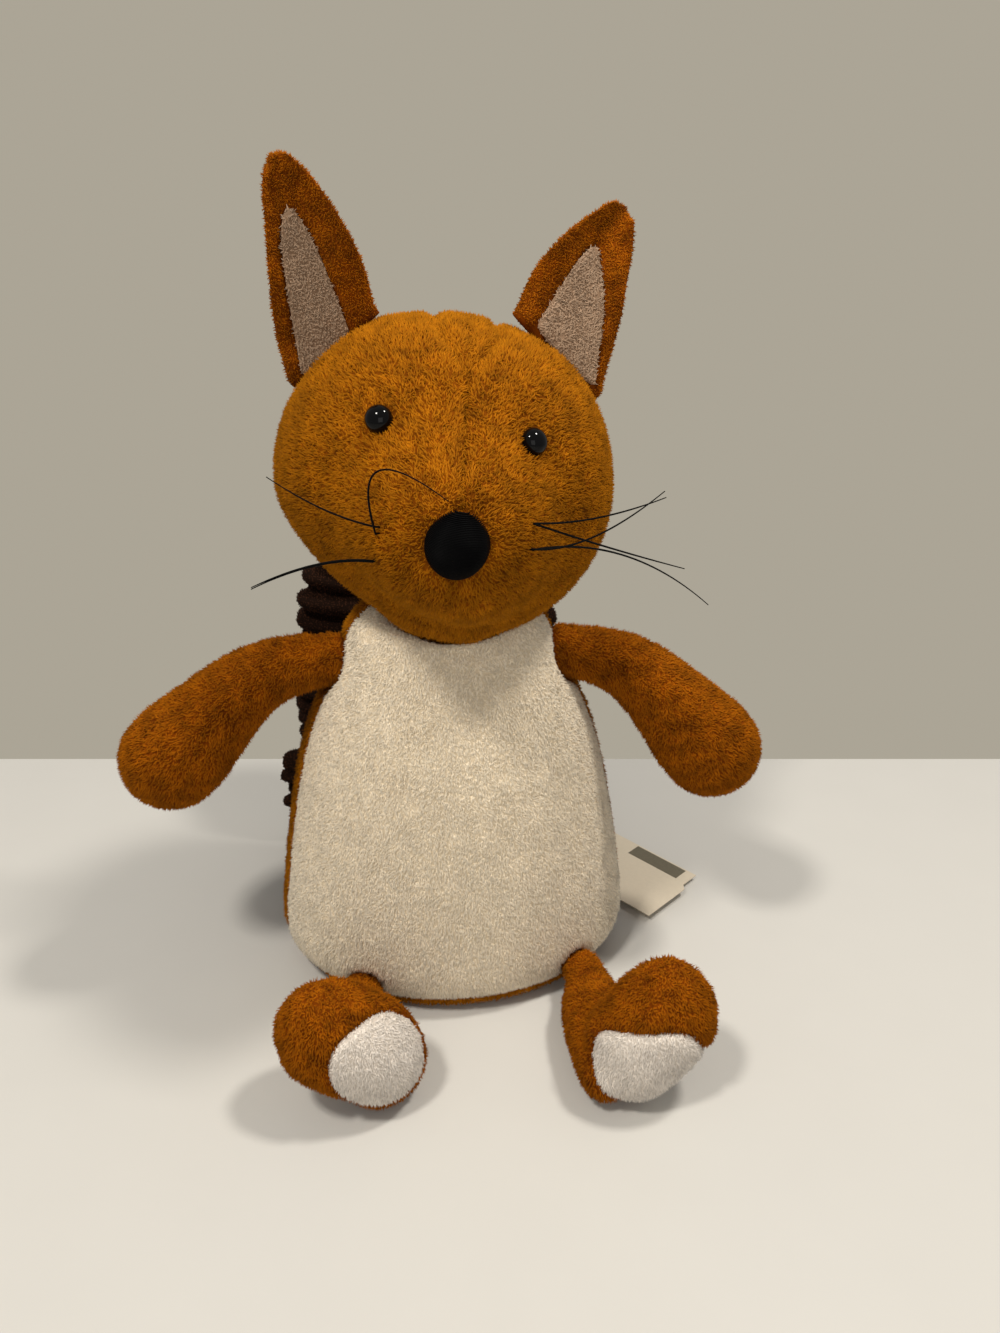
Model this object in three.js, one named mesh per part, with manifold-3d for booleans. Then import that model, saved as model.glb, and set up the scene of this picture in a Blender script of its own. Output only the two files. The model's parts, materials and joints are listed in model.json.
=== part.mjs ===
// Plush squirrel, sitting: short-pile plush covers sewn over fibre filling, a pouch of pellets in
// the seat, a broad ribbed tail, plastic eyes, a padded stitched nose and nylon whiskers.
// Millimetres, +Z up. The origin is on the table under the middle of the seat and the toy faces
// -Y. Left and right are the toy's own: its left is +X.
import * as THREE from "three";
import { mergeVertices } from "three/addons/utils/BufferGeometryUtils.js";
import Module from "manifold-3d";

// Cloth, seams and fits
const CLOTH = 2.2; // plush cloth with its pile pressed down
const SEAM_GAP = 0.4; // between pieces that are sewn or packed against each other
const JOINT_GAP = 0.6; // between a limb's rounded root and its seat in the body

// Body: a pear on a flat seat
const SEAT_WIDTH = 106; // flat that stands on the table
const HIP_WIDTH = 125;
const HIP_HEIGHT = 20;
const WAIST_WIDTH = 104;
const WAIST_HEIGHT = 81;
const SHOULDER_WIDTH = 76;
const SHOULDER_HEIGHT = 116;
const NECK_WIDTH = 56;
const TORSO_HEIGHT = 141; // where the pear would close if the head did not sit in it
const TORSO_DEPTH = 96; // front to back at the hips
const BASE_BAND = 5; // height of the rust band round the seat
const BELLY_SPAN = 169; // degrees of the body's round that the cream belly takes
const BELLY_TURN = 3; // degrees, how far the belly is turned to the toy's left
const POUCH_WIDTH = 66;
const POUCH_HEIGHT = 24;

// Head: an egg with a short snout, seated in the top of the body
const HEAD_WIDTH = 102;
const HEAD_DEPTH = 92;
const HEAD_HEIGHT = 100;
const HEAD_LIFT = 34.5; // the head's middle above the top of the pear
const HEAD_FORWARD = 4;
const HEAD_TILT = 9; // degrees towards the toy's left ear
const HEAD_TURN = 1; // degrees, towards the toy's left
const SNOUT = 16; // how far the snout stands out of the egg
const SNOUT_CONE = 43; // degrees from the snout's axis to where it fades
const SNOUT_DROP = 7; // degrees that the snout points down
const JAW_DRAWN = 5; // how far the head is drawn in at its lower right
const JAW_FULL = 1.4; // how far it is fuller at its lower left
const JAW_CONE = 55; // degrees from the middle of each to where it fades
const SEAT_ROOM = 3; // the head's seat in the body is this much wider than the head's half width
const NECK_RADIUS = 16;

// Face
const EYE_DIAMETER = 7.5;
const EYE_SPACING = 42.2;
const EYE_ASIDE = -1.7; // the middle between the eyes, from the face's middle
const EYE_RISE = 22.5; // above the head's middle
const EYE_RIM = 0.6; // depth of the eye's edge in the pile
const EYE_STEM = 2.6;
const STEM_TAIL = 1.5; // stem past the washer
const WASHER_DIAMETER = 9;
const WASHER_THICKNESS = 1.6;
const NOSE_WIDTH = 16.5;
const NOSE_HEIGHT = 17.8;
const NOSE_DEPTH = 11;
const NOSE_RISE = -1.5; // the nose's middle, measured like the eyes
const WHISKER_THICKNESS = 0.7;
const WHISKER_SIDE = 20; // from the face's middle to the whiskers' roots
const WHISKER_UPPER = 2.5; // height of the upper roots
const WHISKER_LOWER = -6.5;

// Ears
const EAR_WIDTH = 36;
const EAR_HEIGHT = 43.5;
const EAR_LEAN_LEFT = 14; // how far the tip stands towards the crown
const EAR_LEAN_RIGHT = 23;
const EAR_FOLD_LEFT = 24; // degrees that the ear leans back
const EAR_FOLD_RIGHT = 0;
const EAR_THICKNESS = 7;
const EAR_CUP = 5; // how far the rims bend forward
const EAR_TIP = 0.3; // least half width at the tip
const EAR_BORDER = 6; // rust rim round the cream lining
const EAR_ROUND_LEFT = 36; // degrees from the crown to the ear's seat
const EAR_ROUND_RIGHT = 48.2;
const EAR_BACK = 3;
const LINING_THICKNESS = 1.8;
const LINING_OUT = 2; // the lining sits nearer the outer rim

// Arms
const ARM_ROOT = 11; // radius of the rounded root
const ARM_WRIST = 10.4;
const ARM_PAW = 17.2;
const ARM_REACH = 50.4; // shoulder to the middle of the paw, along X
const ARM_FALL = 22.5; // and down
const ARM_FORWARD = 14;
const ARM_ROUND = 86; // degrees from the front to the shoulder
const ARM_BELOW = 1; // the arm's root below the shoulder line
const ARM_DROP_LEFT = 10; // degrees, how the arms hang
const ARM_DROP_RIGHT = 4;
const ROOT_PROUD = 2.6; // how far a limb's pivot stands off the body's surface

// Legs
const LEG_ROOT = 8.6;
const LEG_SLIM = 7.8;
const LEG_ANKLE = 9.4;
const LEG_REACH_LEFT = 45; // hip to the middle of the foot
const LEG_REACH_RIGHT = 33.5;
const LEG_ROUND_LEFT = 41; // degrees from the front to the hip
const LEG_ROUND_RIGHT = 31;
const LEG_HEIGHT = 11.4;
const HEEL_RADIUS = 9.4; // the left leg is bent, with its heel beside the leg's line
const HEEL_REACH = 46;
const HEEL_IN = 6;
const HEEL_DROP = 2.5;
const LEG_OUT_LEFT = 8; // degrees, how the legs spread
const LEG_OUT_RIGHT = -9;
const LEG_LIFT_LEFT = 2.8;
const LEG_LIFT_RIGHT = -1.4;
const FOOT_LENGTH = 50;
const FOOT_WIDTH = 37;
const FOOT_DEPTH = 32;
const FOOT_RISE = 10.4; // the foot's middle above the leg's line
const FOOT_OUT_LEFT = 7; // and outwards of it
const FOOT_OUT_RIGHT = 6;
const FOOT_SPLAY_LEFT = 24; // degrees that the toes point outwards
const FOOT_SPLAY_RIGHT = 50;
const FOOT_INWARD_LEFT = 21; // degrees that the sole looks inwards of the leg
const FOOT_INWARD_RIGHT = 12;
const FOOT_UPWARD_LEFT = 9; // degrees that the sole looks up
const FOOT_UPWARD_RIGHT = 20;
const SOLE_LENGTH = 31;
const SOLE_WIDTH = 30;
const SOLE_DROP = 6; // the sole's middle below the foot's, towards the heel

// Tail
const TAIL_WIDTH = 120;
const TAIL_TOP_WIDTH = 82;
const TAIL_DEPTH = 28;
const TAIL_LENGTH = 168;
const TAIL_CURL = 17; // how far the top leans back
const TAIL_ASIDE = -6.5; // the tail hangs towards the toy's right
const TAIL_STANDOFF = 5; // from the body's back to the tail's front
const TAIL_FOOT = 3; // the tail's lower edge above the table
const TAIL_ROOT = 12;
const TAIL_ROOT_HEIGHT = 24;
const RIBS = 22;
const RIB_DEPTH = 3;

// Tag: a bare card on a plastic pin
const TAG_WIDTH = 35;
const TAG_LENGTH = 48.5;
const TAG_THICKNESS = 0.8;
const TAG_HEIGHT = 1.9; // the card's underside above the table
const TAG_HOLE = 3.4;
const TAG_HOLE_INSET = 4.5;
const TAG_PLACE = [87.25, 7.02]; // middle of the free end
const TAG_HEADING = 130; // degrees from +X to the holed end
const PIN_THICKNESS = 1.2;
const PIN_ROUND = 116; // degrees from the front to the pin
const PIN_HEIGHT = 13;

// Colours
const RUST = 0x9a5612;
const CREAM = 0xcbb592;
const BLACK = 0x0a0a0b;
const BROWN = 0x33201a;
const FIBRE = 0xe9e6de;
const CARD = 0xe8e2d4;

const wasm = await Module();
wasm.setup();
const radians = THREE.MathUtils.degToRad;
const UP = new THREE.Vector3(0, 0, 1);

// A geometry as a solid that can be joined and cut.
function solid(geometry) {
  const bare = geometry.clone();
  bare.deleteAttribute("normal");
  bare.deleteAttribute("uv");
  const welded = mergeVertices(bare, 1e-4);
  const corners = welded.getIndex().array;
  const kept = [];
  for (let i = 0; i < corners.length; i += 3) {
    const [a, b, c] = corners.slice(i, i + 3);
    if (a !== b && b !== c && c !== a) {
      kept.push(a, b, c);
    }
  }
  return new wasm.Manifold(
    new wasm.Mesh({
      numProp: 3,
      vertProperties: new Float32Array(welded.getAttribute("position").array),
      triVerts: new Uint32Array(kept),
    }),
  );
}

function piece(name, shape, color, parent, roughness = 0.9) {
  const mesh = shape.getMesh();
  const geometry = new THREE.BufferGeometry();
  geometry.setAttribute("position", new THREE.BufferAttribute(mesh.vertProperties, 3));
  geometry.setIndex(new THREE.BufferAttribute(mesh.triVerts, 1));
  const made = new THREE.Mesh(geometry, new THREE.MeshStandardMaterial({ color, roughness }));
  made.name = name;
  parent.add(made);
}

function ball(radius, at, fineness = 2) {
  return solid(new THREE.IcosahedronGeometry(radius, fineness).translate(at.x, at.y, at.z));
}

// A rod of round section from one point to another.
function rod(radius, from, to, columns = 12) {
  const along = to.clone().sub(from);
  const geometry = new THREE.CylinderGeometry(radius, radius, along.length(), columns);
  geometry.translate(0, along.length() / 2, 0);
  geometry.applyQuaternion(
    new THREE.Quaternion().setFromUnitVectors(new THREE.Vector3(0, 1, 0), along.clone().normalize()),
  );
  return solid(geometry.translate(from.x, from.y, from.z));
}

// A thin strand along a curve.
function strand(thickness, curve, steps) {
  const section = new THREE.Shape().absarc(0, 0, thickness / 2, 0, Math.PI * 2);
  const settings = { extrudePath: curve, steps, bevelEnabled: false, curveSegments: 3 };
  return solid(new THREE.ExtrudeGeometry(section, settings));
}

// A stuffed tube: rings of the half widths a (across) and b (through) along a curve, which runs on
// straight past its ends. Each station is [distance along the curve, a, b].
function tube(stations, columns, curve, across) {
  const length = curve.getLength();
  const outline = stations.map(([along]) => new THREE.Vector2(1, along));
  const geometry = new THREE.LatheGeometry(outline, columns);
  const places = stations.map(([along]) => {
    const part = THREE.MathUtils.clamp(along / length, 0, 1);
    const tangent = curve.getTangentAt(part);
    const through = new THREE.Vector3().crossVectors(across, tangent).normalize();
    const side = new THREE.Vector3().crossVectors(tangent, through);
    const middle = curve.getPointAt(part).addScaledVector(tangent, along - part * length);
    return { middle, side, through };
  });
  const position = geometry.getAttribute("position");
  for (let i = 0; i < position.count; i += 1) {
    const row = i % stations.length;
    const { middle, side, through } = places[row];
    const point = middle.clone();
    point.addScaledVector(side, position.getX(i) * stations[row][1]);
    point.addScaledVector(through, position.getZ(i) * stations[row][2]);
    position.setXYZ(i, point.x, point.y, point.z);
  }
  return solid(geometry);
}

// The rounded outline of a limb: a round root, a slimmer stretch and a round end.
function limbStations(length, root, slim, end, inset, fineness) {
  const outline = new THREE.Path();
  outline.moveTo(0, inset - root);
  outline.absarc(0, 0, root - inset, -Math.PI / 2, -0.7, false);
  outline.splineThru([
    new THREE.Vector2(slim - inset, root * 1.15),
    new THREE.Vector2((slim + end) / 2 - inset, length * 0.6),
    new THREE.Vector2(end - inset, length * 0.9),
  ]);
  outline.absarc(0, length, end - inset, -0.1, Math.PI / 2, false);
  return outline.getPoints(fineness).map((point) => {
    const radius = Math.max(point.x, 0);
    return [point.y, radius < 1e-6 ? 0 : radius, radius < 1e-6 ? 0 : radius];
  });
}

// Body

const DEPTH_RATIO = TORSO_DEPTH / HIP_WIDTH;

function torsoOutline(inset) {
  const outline = new THREE.Path();
  outline.moveTo(0, 0);
  outline.lineTo(SEAT_WIDTH / 2, 0);
  outline.splineThru([
    new THREE.Vector2((SEAT_WIDTH + 2 * HIP_WIDTH) / 6, HIP_HEIGHT * 0.28),
    new THREE.Vector2(HIP_WIDTH / 2, HIP_HEIGHT),
    new THREE.Vector2(WAIST_WIDTH / 2, WAIST_HEIGHT),
    new THREE.Vector2(SHOULDER_WIDTH / 2, SHOULDER_HEIGHT),
    new THREE.Vector2(NECK_WIDTH / 2, (SHOULDER_HEIGHT + 3 * TORSO_HEIGHT) / 4),
    new THREE.Vector2(0, TORSO_HEIGHT),
  ]);
  const squeeze = (TORSO_HEIGHT - 2 * inset) / TORSO_HEIGHT;
  return outline.getPoints(2).map((point) => {
    const radius = Math.max(point.x - inset, 0);
    return new THREE.Vector2(point.x < 1e-6 ? 0 : radius, inset + point.y * squeeze);
  });
}

function torso(inset, columns) {
  const geometry = new THREE.LatheGeometry(torsoOutline(inset), columns);
  return solid(geometry.rotateX(Math.PI / 2).scale(1, DEPTH_RATIO, 1));
}

function torsoHalfWidth(height) {
  const outline = torsoOutline(0);
  for (let i = 2; i < outline.length; i += 1) {
    if (outline[i].y >= height) {
      const part = (height - outline[i - 1].y) / (outline[i].y - outline[i - 1].y);
      return THREE.MathUtils.lerp(outline[i - 1].x, outline[i].x, part);
    }
  }
  return 0;
}

// A point on the body's surface and the way out of it; the angle runs from the front to the left.
function torsoPlace(angle, height) {
  const half = torsoHalfWidth(height);
  const turn = radians(angle);
  const surface = new THREE.Vector3(half * Math.sin(turn), -half * DEPTH_RATIO * Math.cos(turn), height);
  const out = new THREE.Vector3(Math.sin(turn) * DEPTH_RATIO, -Math.cos(turn), 0).normalize();
  return { surface, out };
}

function limbPivot(angle, height) {
  const { surface, out } = torsoPlace(angle, height);
  return surface.addScaledVector(out, ROOT_PROUD);
}

// Head

const headMiddle = new THREE.Vector3(0, -HEAD_FORWARD, TORSO_HEIGHT + HEAD_LIFT);
const headSeatRadius = HEAD_WIDTH / 2 + SEAT_ROOM;
const neckDrop = (HEAD_HEIGHT / 2 + headSeatRadius) / 2;
const neckMiddle = headMiddle.clone().addScaledVector(UP, -neckDrop);
const snoutAxis = new THREE.Vector3(0, -Math.cos(radians(SNOUT_DROP)), -Math.sin(radians(SNOUT_DROP)));
const jaws = [
  [new THREE.Vector3(-0.45, -0.35, -0.82).normalize(), -JAW_DRAWN],
  [new THREE.Vector3(0.8, -0.3, -0.52).normalize(), JAW_FULL],
];

function headPoint(direction, inset) {
  const fade = Math.cos(radians(SNOUT_CONE));
  const reach = SNOUT * THREE.MathUtils.smoothstep(direction.dot(snoutAxis), fade, 1);
  const point = new THREE.Vector3(
    (HEAD_WIDTH / 2 - inset) * direction.x,
    (HEAD_DEPTH / 2 - inset) * direction.y,
    (HEAD_HEIGHT / 2 - inset) * direction.z,
  ).addScaledVector(snoutAxis, reach);
  for (const [way, swell] of jaws) {
    const near = THREE.MathUtils.smoothstep(direction.dot(way), Math.cos(radians(JAW_CONE)), 1);
    point.addScaledVector(way, swell * near);
  }
  return point;
}

function headGeometry(inset, columns, rows) {
  const geometry = new THREE.SphereGeometry(1, columns, rows);
  const position = geometry.getAttribute("position");
  for (let i = 0; i < position.count; i += 1) {
    const direction = new THREE.Vector3().fromBufferAttribute(position, i).normalize();
    const point = headPoint(direction, inset);
    position.setXYZ(i, point.x, point.y, point.z);
  }
  return geometry;
}

function headShape(inset, columns, rows) {
  return solid(headGeometry(inset, columns, rows));
}

const HEAD_COLUMNS = 26;
const HEAD_ROWS = 16;
const face = new THREE.Mesh(headGeometry(0, HEAD_COLUMNS, HEAD_ROWS));

// The face's surface at a distance from its middle and a height, with the way out of it.
function facePlace(side, rise) {
  const at = (x, z) => {
    const start = new THREE.Vector3(x, -2 * HEAD_DEPTH, z);
    return new THREE.Raycaster(start, new THREE.Vector3(0, 1, 0)).intersectObject(face)[0].point;
  };
  const step = EYE_DIAMETER / 4;
  const sideways = at(side + step, rise).sub(at(side - step, rise));
  const upwards = at(side, rise + step).sub(at(side, rise - step));
  return { surface: at(side, rise), out: sideways.cross(upwards).normalize() };
}

const head = new THREE.Group();
head.position.copy(headMiddle);
head.rotation.set(0, radians(HEAD_TILT), radians(HEAD_TURN), "ZYX");
head.updateMatrixWorld(true);
const neckInHead = head.worldToLocal(neckMiddle.clone());
const neckSeatInHead = ball(NECK_RADIUS + JOINT_GAP, neckInHead, 3);

// A turned part laid on the face: its outline runs along the way out of the surface.
function onFace(outline, place, columns) {
  const geometry = new THREE.LatheGeometry(outline, columns);
  const turn = new THREE.Quaternion().setFromUnitVectors(new THREE.Vector3(0, 1, 0), place.out);
  geometry.applyQuaternion(turn);
  return solid(geometry.translate(place.surface.x, place.surface.y, place.surface.z));
}

const washerTop = -CLOTH - SEAM_GAP;
const stemEnd = washerTop - WASHER_THICKNESS - STEM_TAIL;

function eyeOutline(grow) {
  const outline = new THREE.Path();
  outline.moveTo(0, stemEnd - grow);
  outline.lineTo(EYE_STEM / 2 + grow, stemEnd - grow);
  outline.lineTo(EYE_STEM / 2 + grow, -EYE_RIM - grow);
  outline.lineTo(EYE_DIAMETER / 2 + grow, -EYE_RIM - grow);
  outline.absellipse(0, 0, EYE_DIAMETER / 2 + grow, EYE_DIAMETER * 0.38 + grow, 0, Math.PI / 2, false, 0);
  return outline.getPoints(2).map((point) => new THREE.Vector2(point.x < 1e-6 ? 0 : point.x, point.y));
}

function washerOutline() {
  const bore = EYE_STEM / 2 + SEAM_GAP;
  const outer = WASHER_DIAMETER / 2;
  const top = washerTop;
  const bottom = washerTop - WASHER_THICKNESS;
  const corners = [[bore, bottom], [outer, bottom], [outer, top], [bore, top], [bore, bottom]];
  return corners.map(([x, y]) => new THREE.Vector2(x, y));
}

// The room of a washer, from under its stem up to a height.
function washerSeat(top) {
  const radius = WASHER_DIAMETER / 2 + SEAM_GAP;
  const corners = [[0, stemEnd - SEAM_GAP], [radius, stemEnd - SEAM_GAP], [radius, top], [0, top]];
  return corners.map(([x, y]) => new THREE.Vector2(x, y));
}

const nosePlace = facePlace(0, NOSE_RISE);

function noseShape(grow) {
  const geometry = new THREE.SphereGeometry(1, 14, 9);
  geometry.scale(NOSE_WIDTH / 2 + grow, NOSE_DEPTH / 2 + grow, NOSE_HEIGHT / 2 + grow);
  return solid(geometry.translate(0, nosePlace.surface.y, nosePlace.surface.z));
}

const headCover = headShape(0, HEAD_COLUMNS, HEAD_ROWS).subtract(headShape(CLOTH, 16, 10));
const headCuts = neckSeatInHead.add(noseShape(SEAM_GAP));
let headPanels = headCover.subtract(headCuts);
let headFilling = headShape(CLOTH + SEAM_GAP, 16, 10).subtract(headCuts);

for (const [name, side] of [["left", 1], ["right", -1]]) {
  const place = facePlace((side * EYE_SPACING) / 2 + EYE_ASIDE, EYE_RISE);
  piece(`eye_${name}`, onFace(eyeOutline(0), place, 12), BLACK, head, 0.1);
  piece(`eye_washer_${name}`, onFace(washerOutline(), place, 12), FIBRE, head, 0.5);
  headPanels = headPanels.subtract(onFace(eyeOutline(SEAM_GAP), place, 12));
  headFilling = headFilling.subtract(onFace(eyeOutline(SEAM_GAP), place, 12));
  headPanels = headPanels.subtract(onFace(washerSeat(washerTop + SEAM_GAP), place, 12));
  headFilling = headFilling.subtract(onFace(washerSeat(0), place, 12));
}
piece("nose", noseShape(0), BLACK, head, 0.6);

// Ears

function earStations(inset) {
  const roll = EAR_THICKNESS / 2 - inset;
  const rows = [];
  for (const angle of [-90, -60, -30]) {
    const turn = radians(angle);
    const wide = EAR_WIDTH / 2 - inset - roll * (1 - Math.cos(turn));
    rows.push([roll * Math.sin(turn), wide, roll * Math.cos(turn)]);
  }
  for (const part of [0, 0.15, 0.35, 0.55, 0.75, 0.9, 1]) {
    const taper = Math.pow(1 - 0.88 * part, 0.85);
    const wide = Math.max((EAR_WIDTH / 2) * taper - inset, EAR_TIP);
    rows.push([part * EAR_HEIGHT, wide, roll * (1 - 0.35 * part)]);
  }
  rows[0][1] = 0;
  rows[0][2] = 0;
  rows.push([EAR_HEIGHT + EAR_THICKNESS / 3 - inset, 0, 0]);
  return rows;
}

// Bends an ear's straight sheet: the tip leans to the crown and the rims come forward.
function earBend(geometry, side, lean) {
  const position = geometry.getAttribute("position");
  for (let i = 0; i < position.count; i += 1) {
    const part = THREE.MathUtils.clamp(position.getZ(i) / EAR_HEIGHT, 0, 1);
    const rim = Math.abs(position.getX(i)) / (EAR_WIDTH / 2);
    const cup = EAR_CUP * rim * rim * THREE.MathUtils.smoothstep(part, 0.05, 0.5);
    position.setX(i, position.getX(i) - side * lean * part);
    position.setY(i, position.getY(i) - cup);
  }
  return solid(geometry);
}

function earSheet(stations, columns, side, lean, ahead, out) {
  const outline = stations.map(([height]) => new THREE.Vector2(1, height));
  const geometry = new THREE.LatheGeometry(outline, columns).rotateX(Math.PI / 2);
  const position = geometry.getAttribute("position");
  for (let i = 0; i < position.count; i += 1) {
    const [height, wide, thick] = stations[i % stations.length];
    position.setXYZ(i, position.getX(i) * wide + side * out, position.getY(i) * thick - ahead, height);
  }
  return earBend(geometry, side, lean);
}

function liningStations(grow) {
  const first = 0.08;
  const last = 0.68;
  const rows = [[first * EAR_HEIGHT - grow, 0, 0]];
  for (const part of [first, 0.25, 0.4, 0.55, last]) {
    const taper = Math.pow(1 - 0.88 * part, 0.85);
    const wide = Math.max((EAR_WIDTH / 2) * taper - EAR_BORDER, 1);
    rows.push([part * EAR_HEIGHT, wide + grow, LINING_THICKNESS / 2 + grow]);
  }
  rows.push([last * EAR_HEIGHT + grow + 1, 0, 0]);
  return rows;
}

let earSeats = null;
for (const [name, side, around, lean, fold] of [
  ["left", 1, EAR_ROUND_LEFT, EAR_LEAN_LEFT, EAR_FOLD_LEFT],
  ["right", -1, EAR_ROUND_RIGHT, EAR_LEAN_RIGHT, EAR_FOLD_RIGHT],
]) {
  const out = (HEAD_WIDTH / 2) * Math.sin(radians(around));
  const round = (2 * out / HEAD_WIDTH) ** 2 + (2 * EAR_BACK / HEAD_DEPTH) ** 2;
  const rise = (Math.sqrt(1 - round) * HEAD_HEIGHT) / 2;
  const slope = Math.atan2(out / HEAD_WIDTH ** 2, rise / HEAD_HEIGHT ** 2);
  const ear = new THREE.Group();
  ear.position.set(side * out, EAR_BACK, rise);
  ear.rotation.set(radians(-fold), side * slope, 0, "YXZ");
  head.add(ear);
  const ahead = EAR_THICKNESS / 2 - LINING_THICKNESS * 0.6;
  const cover = earSheet(earStations(0), 14, side, lean, 0, 0);
  const recess = earSheet(liningStations(SEAM_GAP), 12, side, lean, ahead, LINING_OUT);
  piece(`ear_cover_${name}`, cover.subtract(recess), RUST, ear);
  piece(`ear_lining_${name}`, earSheet(liningStations(0), 12, side, lean, ahead, LINING_OUT), CREAM, ear);
  const rollRadius = EAR_THICKNESS / 2 + JOINT_GAP;
  const chord = new THREE.Vector3(EAR_WIDTH / 2 + JOINT_GAP, 0, 0).applyEuler(ear.rotation);
  const seat = rod(rollRadius, ear.position.clone().sub(chord), ear.position.clone().add(chord), 16);
  earSeats = earSeats ? earSeats.add(seat) : seat;
}
headPanels = headPanels.subtract(earSeats);
piece("head_filling", headFilling.subtract(earSeats), FIBRE, head);
for (const [name, side] of [["left", 1], ["right", -1]]) {
  const half = new THREE.BoxGeometry(HEAD_WIDTH, 3 * HEAD_DEPTH, 2 * HEAD_HEIGHT);
  half.translate((side * (HEAD_WIDTH + SEAM_GAP)) / 2, 0, 0);
  piece(`head_panel_${name}`, headPanels.intersect(solid(half)), RUST, head);
}

// Whiskers: root height, then the tip's way out, forward and up from the root, and the bow.
const WHISKERS = {
  left: [
    [WHISKER_UPPER, 32, 3, 11, 1],
    [WHISKER_UPPER - 2, 39, 4, -5, 2],
    [WHISKER_LOWER + 3, 29, 5, 19, -5],
    [WHISKER_LOWER, 44, 2, -6, 5],
  ],
  right: [
    [WHISKER_UPPER, 28, 2, 6, 0],
    [WHISKER_UPPER - 2, -16, 13, 11, 16],
    [WHISKER_LOWER - 3, 30, 2, -10, 3],
    [WHISKER_LOWER - 5, 28, 4, -13, 4],
  ],
};
for (const [name, side] of [["left", 1], ["right", -1]]) {
  WHISKERS[name].forEach(([rise, out, forward, up, bow], i) => {
    const place = facePlace(side * WHISKER_SIDE, rise);
    const root = place.surface.addScaledVector(place.out, SEAM_GAP + WHISKER_THICKNESS / 2);
    const tip = root.clone().add(new THREE.Vector3(side * out, -forward, up));
    const crest = root.clone().lerp(tip, 0.45).add(new THREE.Vector3(0, -4, bow));
    const curve = new THREE.QuadraticBezierCurve3(root, crest, tip);
    piece(`whisker_${name}_${i + 1}`, strand(WHISKER_THICKNESS, curve, 7), BLACK, head, 0.4);
  });
}

// Neck

const root = new THREE.Group();
root.name = "plush_squirrel";
root.add(head);
piece("neck_plug", ball(NECK_RADIUS, neckMiddle, 3), RUST, root);

// Arms

let bodySeats = ball(headSeatRadius, headMiddle, 5).add(
  ball(NECK_RADIUS + JOINT_GAP, neckMiddle, 3));

for (const [name, side, drop] of [["left", 1, ARM_DROP_LEFT], ["right", -1, ARM_DROP_RIGHT]]) {
  const arm = new THREE.Group();
  arm.position.copy(limbPivot(side * ARM_ROUND, SHOULDER_HEIGHT - ARM_BELOW));
  arm.rotation.set(0, side * radians(drop), 0);
  root.add(arm);
  bodySeats = bodySeats.add(ball(ARM_ROOT + JOINT_GAP, arm.position));
  const line = new THREE.CatmullRomCurve3([
    new THREE.Vector3(0, 0, 0),
    new THREE.Vector3(side * ARM_REACH * 0.28, -ARM_FORWARD * 0.1, -ARM_FALL * 0.04),
    new THREE.Vector3(side * ARM_REACH * 0.55, -ARM_FORWARD * 0.4, -ARM_FALL * 0.26),
    new THREE.Vector3(side * ARM_REACH, -ARM_FORWARD, -ARM_FALL),
  ]);
  const across = new THREE.Vector3(0, 1, 0);
  const grown = (inset, columns, fineness) => tube(
    limbStations(line.getLength(), ARM_ROOT, ARM_WRIST, ARM_PAW, inset, fineness), columns, line, across);
  const inside = new THREE.Vector3(-side * ARM_ROOT * 1.3, 0, 0);
  const mouth = rod(ARM_ROOT - 2 * CLOTH, inside, new THREE.Vector3());
  const cover = grown(0, 14, 2).subtract(grown(CLOTH, 10, 1)).subtract(mouth);
  piece(`arm_cover_${name}`, cover, RUST, arm);
  piece(`arm_filling_${name}`, grown(CLOTH + SEAM_GAP, 10, 1), FIBRE, arm);
}

// Legs

function legReach(side) {
  return side > 0 ? LEG_REACH_LEFT : LEG_REACH_RIGHT;
}

function footFrame(side) {
  const inward = side > 0 ? FOOT_INWARD_LEFT : FOOT_INWARD_RIGHT;
  const upward = side > 0 ? FOOT_UPWARD_LEFT : FOOT_UPWARD_RIGHT;
  const look = new THREE.Euler(radians(-upward), 0, radians(-side * inward), "ZYX");
  const place = new THREE.Matrix4().makeRotationFromEuler(look);
  const splay = side > 0 ? FOOT_SPLAY_LEFT : -FOOT_SPLAY_RIGHT;
  place.multiply(new THREE.Matrix4().makeRotationY(radians(splay)));
  return place.setPosition(side > 0 ? FOOT_OUT_LEFT : -FOOT_OUT_RIGHT, -legReach(side), FOOT_RISE);
}

function heelShape(inset, columns, fineness) {
  const line = new THREE.CatmullRomCurve3([
    new THREE.Vector3(-HEEL_IN * 0.4, -LEG_ROOT * 1.25, 0),
    new THREE.Vector3(-HEEL_IN * 0.95, -HEEL_REACH * 0.6, -HEEL_DROP * 0.7),
    new THREE.Vector3(-HEEL_IN, -HEEL_REACH, -HEEL_DROP),
  ]);
  const calf = (LEG_SLIM + HEEL_RADIUS) / 2;
  const stations = limbStations(line.getLength(), LEG_SLIM, calf, HEEL_RADIUS, inset, fineness);
  return tube(stations, columns, line, new THREE.Vector3(1, 0, 0));
}

function legShape(side, inset, columns, fineness) {
  const ankle = new THREE.Vector3(0, -legReach(side), FOOT_RISE / 2);
  const line = new THREE.LineCurve3(new THREE.Vector3(), ankle);
  const stations = limbStations(line.getLength(), LEG_ROOT, LEG_SLIM, LEG_ANKLE, inset, fineness);
  const leg = tube(stations, columns, line, new THREE.Vector3(1, 0, 0));
  const foot = new THREE.SphereGeometry(1, columns + 2, columns - 3);
  foot.scale(FOOT_WIDTH / 2 - inset, FOOT_DEPTH / 2 - inset, FOOT_LENGTH / 2 - inset);
  const shape = leg.add(solid(foot.applyMatrix4(footFrame(side))));
  return side > 0 ? shape.add(heelShape(inset, columns, fineness)) : shape;
}

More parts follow.
